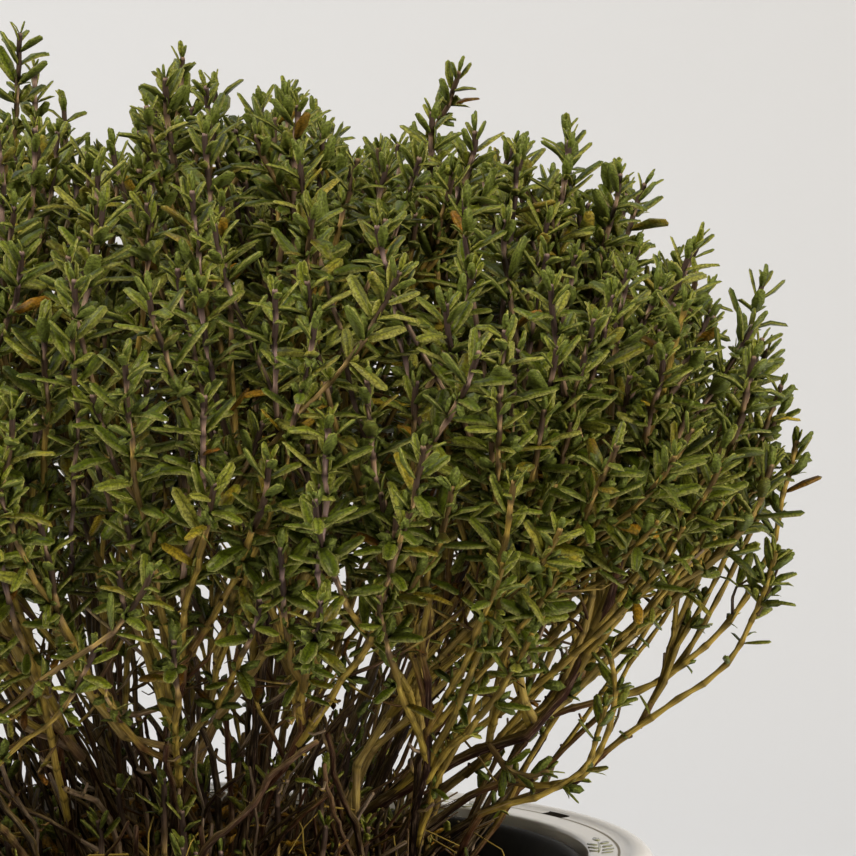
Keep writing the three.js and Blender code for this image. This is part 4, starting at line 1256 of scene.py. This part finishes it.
def putTuft(leaves, base, way, out, turn, count, tone, rng):
    # pairs of small leaves in the joint of a leaf
    form = leafForm
    core = unit(way * 0.75 + out * 0.55)
    aside = unit(np.cross(core, way))
    above = np.cross(core, aside)
    for k in range(count):
        swing = turn + math.pi / 2 * k + rng.normal(0, 0.25)
        spread = math.radians(rng.uniform(*form["smallAside"]))
        sideways = aside * math.cos(swing) + above * math.sin(swing)
        small = core * math.cos(spread) + sideways * math.sin(spread)
        length = rng.uniform(*form["smallLength"]) * (1 if k < 2 else 0.8)
        putLeaf(leaves, "small", base, small, unit(core + rng.normal(0, 0.1, 3)), length,
                length * rng.uniform(*form["smallSlim"]), math.radians(rng.normal(*form["smallCurl"])),
                0.0, np.clip(tone + rng.normal(0, 0.12), 0, 1), 0.2 + rng.uniform(0, 0.45))


def leafAxis(leaves, axis, rng, sparse):
    # pairs of leaves, each square to the last, with tufts in their joints
    form = leafForm
    line = axis["line"]
    length = lineLength(line)
    along, first, second = carried(line)
    turn = rng.uniform(0, math.pi)
    shootSize, shootTone = rng.uniform(0.86, 1.08), rng.uniform(0.15, 0.85)
    outer = bushShare(line[-1])[0] > 0.8
    for n, run in enumerate(axis["nodes"]):
        place = 1 - run / length
        turn += math.pi / 2 + rng.normal(0, 0.14)
        way, start = unit(at(along, place)), at(line, place)
        across = unit(around(first, second, place, turn))
        radius = radiusAt(axis, place)
        leafy = run < axis["leafy"]
        fade = np.clip((run - axis["leafy"] * 0.75) / 18, 0, 1)
        young = np.clip(1 - run / 8, 0, 1) * 0.7
        if place < 0.12 or axis["dead"] > 0.25:
            continue
        # few leaves live in the shade below, but for those at a shoot's tip
        height = start[2] - level + max(14 - run, 0) * 4
        lit = np.interp(height, form["litHeights"], form["litShares"])
        if run > 18 and inOpenCorner(start):
            lit *= 0.4
        for sign in (-1, 1):
            out = across * sign
            living = 1 if leafy else form["keptSparse"] if sparse else form["keptBare"]
            if rng.uniform() > (form["kept"] - 0.3 * fade) * living * lit:
                if rng.uniform() < 0.2:
                    putTuft(leaves, start, way, out, turn, 2, 0.4, rng)
                continue
            angle = form["angles"][min(n, 8)] + rng.normal(0, 8)
            angle = math.radians(angle + (16 * fade if leafy else rng.uniform(5, 40)))
            heading = way * math.cos(angle) + out * math.sin(angle)
            if run > 14:
                heading = unit(heading - np.array([0, 0, 0.14 + 0.2 * fade]) * rng.uniform(0, 1))
            up = unit(way * 0.8 + np.array([0, 0, 0.45]) + rng.normal(0, 0.13, 3))
            long = form["length"] * form["sizes"][min(n, 8)] * shootSize * rng.uniform(0.8, 1.14)
            long = long * (1 - 0.25 * fade) * (0.72 + 0.28 * lit)
            wide = long * rng.uniform(*form["slim"]) * (0.84 + 0.16 * lit)
            tone = np.clip(shootTone + rng.normal(0, 0.2), 0, 1)
            chance, dry = rng.uniform(), 0.0
            if n > 2 and chance < form["dry"] + 0.05 * fade:
                dry = rng.uniform(0.7, 1)
            elif n > 2 and chance < form["drying"]:
                dry = rng.uniform(0.15, 0.5)
            kind = "big" if outer and run < 40 else "plain"
            putLeaf(leaves, kind, start + heading * radius * 0.5, heading, up, long, wide,
                    math.radians(rng.normal(*form["curl"])), rng.normal(0, 0.25), tone, young, dry)
            tuft = rng.uniform()
            if run > 6 and tuft > form["tuftless" if leafy and lit > 0.6 and outer else "tuftlessShade"]:
                count = 2 if tuft < form["halfTuft"] or not outer else 4
                putTuft(leaves, start + out * radius * 0.6, way, out, turn, count, tone, rng)


def makeStems():
    rng = np.random.default_rng(woodForm["seed"])
    for name, axes in stemAxes.items():
        wood, leaves = newWood(), {kind: [] for kind in leafShapes}
        for axis in axes:
            axis["nodes"] = nodePlaces(axis, rng)
            axis["line"] = jointed(axis, rng)
            growTube(wood, axis, rng)
            growStubs(wood, axis, rng)
            growDeadTwigs(wood, leaves, axis, rng)
            leafAxis(leaves, axis, rng, name.startswith(lowStems))
        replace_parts(woodPiece(name + "_wood", wood), name)
        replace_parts(leafPiece(name + "_leaves", leaves), name)


makeStems()
print("stage: stems and leaves")


crown = {
    # clearFrom is the x from which nothing stands, over the watering gap
    "seed": 5, "radius": 46, "clearFrom": 42,
    "twigs": 325, "twigLength": (16, 64), "twigRadius": (0.32, 0.95),
    # strips of bark on each stem, from where to where they run, and how far they stand off at the end
    "strips": 6, "stripFrom": (2, 18), "stripTo": (26, 46), "peel": 2.6, "stripWidth": (0.3, 0.75),
    "litter": 420, "caught": 800, "litterLength": (3.5, 7.5), "litterSlim": (0.2, 0.34),
    "sprigs": 120, "sprigLength": (18, 38), "fibres": 16, "fibreRadii": (0.2, 0.12),
}


def crownTwigs(rng):
    # dead and broken stems that stand and lie in the middle of the plant
    c = crown
    wood = newWood()
    for _ in range(c["twigs"]):
        radius, azimuth = c["radius"] * math.sqrt(rng.uniform(0.02, 1)), rng.uniform(0, 2 * math.pi)
        root = onSoil(radius, azimuth, -1.5)
        lean = rng.uniform(0.1, 0.6) + 0.7 * radius / c["radius"] * rng.uniform(0.3, 1)
        heading = azimuth + rng.normal(0, 0.9)
        reach = rng.uniform(*c["twigLength"]) * (1 if lean < 0.8 else 0.6)
        tip = root + leaning(lean, heading) * reach
        tip[2] = max(tip[2], root[2] + 6)
        if tip[0] > c["clearFrom"]:
            continue
        endWay = leaning(min(lean * 1.4, 1.4), heading)
        line = wiggled(growth(root, leaning(lean * 0.5, heading), tip, endWay), 1.4, rng)
        thick = rng.uniform(*c["twigRadius"])
        # the old ages give these twigs the darkest bark, which is partly painted shade in the middle of the
        # plant
        axis = newAxis("side", line, 0, rng.uniform(-0.1, 0.15), radii=(thick, thick * 0.55), age=(1.0, 0.75),
                       dead=rng.choice([0.0, 0.1, 0.35, 0.8], p=(0.68, 0.2, 0.08, 0.04)), byHand=True)
        axis["nodes"] = nodePlaces(axis, rng)[2:]
        growTube(wood, axis, rng)
        growStubs(wood, axis, rng)
    woodPiece("crown_dead_twigs", wood)


def ribbon(wood, line, width, thick, side, age, dead):
    # flat strip along a line, as a tube of four sides
    axis = newAxis("stub", line, 0, 0.0, radii=(width, width * 0.4), age=(age, age), dead=dead, byHand=True)
    first = len(wood["points"])
    growTube(wood, axis, np.random.default_rng(0))
    body = wood["points"][first]
    rows = len(body) // 4
    middle = at(line, np.linspace(0, 1, rows))
    gap = body.reshape(rows, 4, 3) - middle[:, None]
    flat = gap - side * np.sum(gap * side, -1, keepdims=True) * (1 - thick / width)
    wood["points"][first] = (middle[:, None] + flat).reshape(-1, 3)


def crownBark(rng):
    # strips of bark that peel from the old wood and curl away at one end
    c = crown
    wood = newWood()
    for axes in stemAxes.values():
        main = axes[0]
        length = lineLength(main["line"])
        _, first, second = carried(main["line"])
        for _ in range(c["strips"]):
            low, high = rng.uniform(*c["stripFrom"]), rng.uniform(*c["stripTo"])
            t = np.linspace(low, high, 14) / length
            side = around(first, second, t, rng.uniform(0, anyTurn))
            peel = c["peel"] * rng.uniform(0.3, 1) * np.linspace(0, 1, 14) ** 3 * rng.choice([1, 0.4])
            line = at(main["line"], t) + side * (radiusAt(main, t) * 0.95 + peel)[:, None]
            line = line + np.array([0, 0, -1.0]) * (peel * 0.8)[:, None]
            ribbon(wood, spaced(line, 1.5), rng.uniform(*c["stripWidth"]), 0.1, side[7],
                   rng.uniform(0.55, 0.95), rng.choice([0.0, 0.3]))
    woodPiece("crown_peeling_bark", wood)


def crownLitter(rng):
    # fallen leaves, on the soil and caught between the stems
    c = crown
    leaves = {kind: [] for kind in leafShapes}
    for n in range(c["litter"] + c["caught"]):
        loose = n < c["litter"]
        radius = (soilRadius if loose else c["radius"]) * math.sqrt(rng.uniform(0, 0.92))
        azimuth = rng.uniform(0, 2 * math.pi)
        height = 0.3 if loose else rng.uniform(1, 30) * (1 - 0.4 * radius / c["radius"])
        way = leaning(rng.uniform(1.1, 2.0), rng.uniform(0, 2 * math.pi))
        length = rng.uniform(*c["litterLength"])
        up = unit(rng.normal(0, 0.6, 3) + (0, 0, 1))
        putLeaf(leaves, "small", onSoil(radius, azimuth, height), way, up, length,
                length * rng.uniform(*c["litterSlim"]), curl=rng.uniform(-0.9, 1.4), twist=rng.normal(0, 0.9),
                tone=rng.uniform(0, 0.6), dry=rng.uniform(0.8, 1))
    leafPiece("crown_fallen_leaves", leaves)


def crownSprigs(rng):
    # weak young shoots and curly fibres of old bark at the foot of the plant
    c = crown
    wood, leaves = newWood(), {kind: [] for kind in leafShapes}
    for _ in range(c["sprigs"]):
        radius, azimuth = c["radius"] * math.sqrt(rng.uniform(0.1, 1)), rng.uniform(0, 2 * math.pi)
        root = onSoil(radius, azimuth, -1)
        lean = rng.uniform(0.1, 0.9)
        tip = root + leaning(lean, azimuth + rng.normal(0, 0.5)) * rng.uniform(*c["sprigLength"])
        if tip[0] > c["clearFrom"]:
            continue
        line = wiggled(growth(root, leaning(lean, azimuth), tip, leaning(0.1, azimuth)), 0.8, rng)
        axis = newAxis("side", line, rng.uniform(6, 14), 0.0, radii=(0.5, 0.34))
        axis["nodes"] = nodePlaces(axis, rng)
        growTube(wood, axis, rng)
        leafAxis(leaves, axis, rng, True)
    for n in range(c["fibres"]):
        # the first has a place of its own at the front
        azimuth = rng.uniform(-2.6, 0.3) if n else -0.9
        start = leaning(math.pi / 2, azimuth) * rng.uniform(34, 46) + (0, 0, level + rng.uniform(2, 16))
        way = leaning(rng.uniform(1.2, 2.0), azimuth + rng.normal(0, 0.6))
        line = wiggled(spaced([start, start + way * 9, start + way * 17 - (0, 0, 5)]), 2.2, rng)
        fibre = newAxis("stub", line, 0, 0.0, radii=c["fibreRadii"], age=(0.4, 0.4), byHand=True)
        growTube(wood, fibre, rng)
    woodPiece("crown_young_shoots", wood)
    leafPiece("crown_young_leaves", leaves)


def makeCrown():
    rng = np.random.default_rng(crown["seed"])
    crownTwigs(rng)
    crownBark(rng)
    crownLitter(rng)
    crownSprigs(rng)


makeCrown()
print("stage: crown of the plant")


# pale paper sweep, and lamps as place and target in metres, size, power in watts and colour
studio = {
    "paper": "#cfd1d4", "grainMm": 2.5, "world": "#ffdca6", "worldPower": 0.01,
    # the sweep in metres, seen from the side
    "sweep": {"back": 1.6, "front": -3.0, "half": 4.0, "top": 3.2, "bend": 0.8},
    "lamps": {
        "key": ((-1.25, -1.0, 1.5), (0, 0, 0.2), 0.7, 42, "#fff4e2"),
        "front": ((-0.7, -1.7, 0.35), (0, 0, 0.17), 0.5, 1.2, "#ffe8c6"),
        "fill": ((1.5, -1.1, 0.75), (0, 0, 0.2), 0.9, 31, "#fff3e0"),
        "back": ((1.1, 0.2, 1.3), (0, 0, 0.13), 0.6, 5, "#fff8ee"),
        "wash": ((-0.9, 0.5, 2.3), (0, 1.5, 0.5), 1.5, 29, "#eaf0fa"),
    },
}


def softbox(name, place, target, size, power, colour):
    lamp = bpy.data.objects.new(name, bpy.data.lights.new(name, "AREA"))
    lamp.data.shape = "DISK"
    lamp.data.size = size
    lamp.data.energy = power
    lamp.data.color = linear(colour)[:3]
    lamp.location = place
    x, y, z = np.array(target) - np.array(place)
    lamp.rotation_euler = (math.pi / 2 + math.atan2(z, math.hypot(x, y)), 0, math.atan2(y, x) - math.pi / 2)
    bpy.context.scene.collection.objects.link(lamp)


def makeStudio():
    material, tree, shader = newMaterial("matt backdrop paper", {
        "Base Color": linear(studio["paper"]), "Roughness": 0.95})
    place = add(tree, "TexCoord").outputs["Object"]
    grain = add(tree, "TexNoise", {"Scale": 1 / (studio["grainMm"] * mm)}, {"Vector": place})
    bump = add(tree, "Bump", {"Strength": 0.05, "Distance": 0.5 * mm}, {"Height": grain})
    join(tree, shader, {"Normal": bump})
    back, front, half, top, bend = studio["sweep"].values()
    curve = [(back - bend + bend * math.sin(a), bend - bend * math.cos(a))
             for a in np.linspace(0, math.pi / 2, 13)]
    profile = [(front, 0.0)] + curve + [(back, top)]
    mesh = bpy.data.meshes.new("backdrop")
    mesh.from_pydata([(x, y, z) for y, z in profile for x in (-half, half)], [],
                     [(2 * k, 2 * k + 1, 2 * k + 3, 2 * k + 2) for k in range(len(profile) - 1)])
    mesh.polygons.foreach_set("use_smooth", [True] * len(mesh.polygons))
    mesh.materials.append(material)
    backdrop = bpy.data.objects.new("backdrop", mesh)
    bpy.context.scene.collection.objects.link(backdrop)
    for name, lamp in studio["lamps"].items():
        softbox(name, *lamp)
    world = bpy.data.worlds.new("studio")
    world.use_nodes = True
    background = world.node_tree.nodes["Background"]
    background.inputs["Color"].default_value = linear(studio["world"])
    background.inputs["Strength"].default_value = studio["worldPower"]
    bpy.context.scene.world = world


makeStudio()
bpy.context.scene.view_settings.view_transform = "Standard"
print("stage: studio")

bpy.context.view_layer.update()
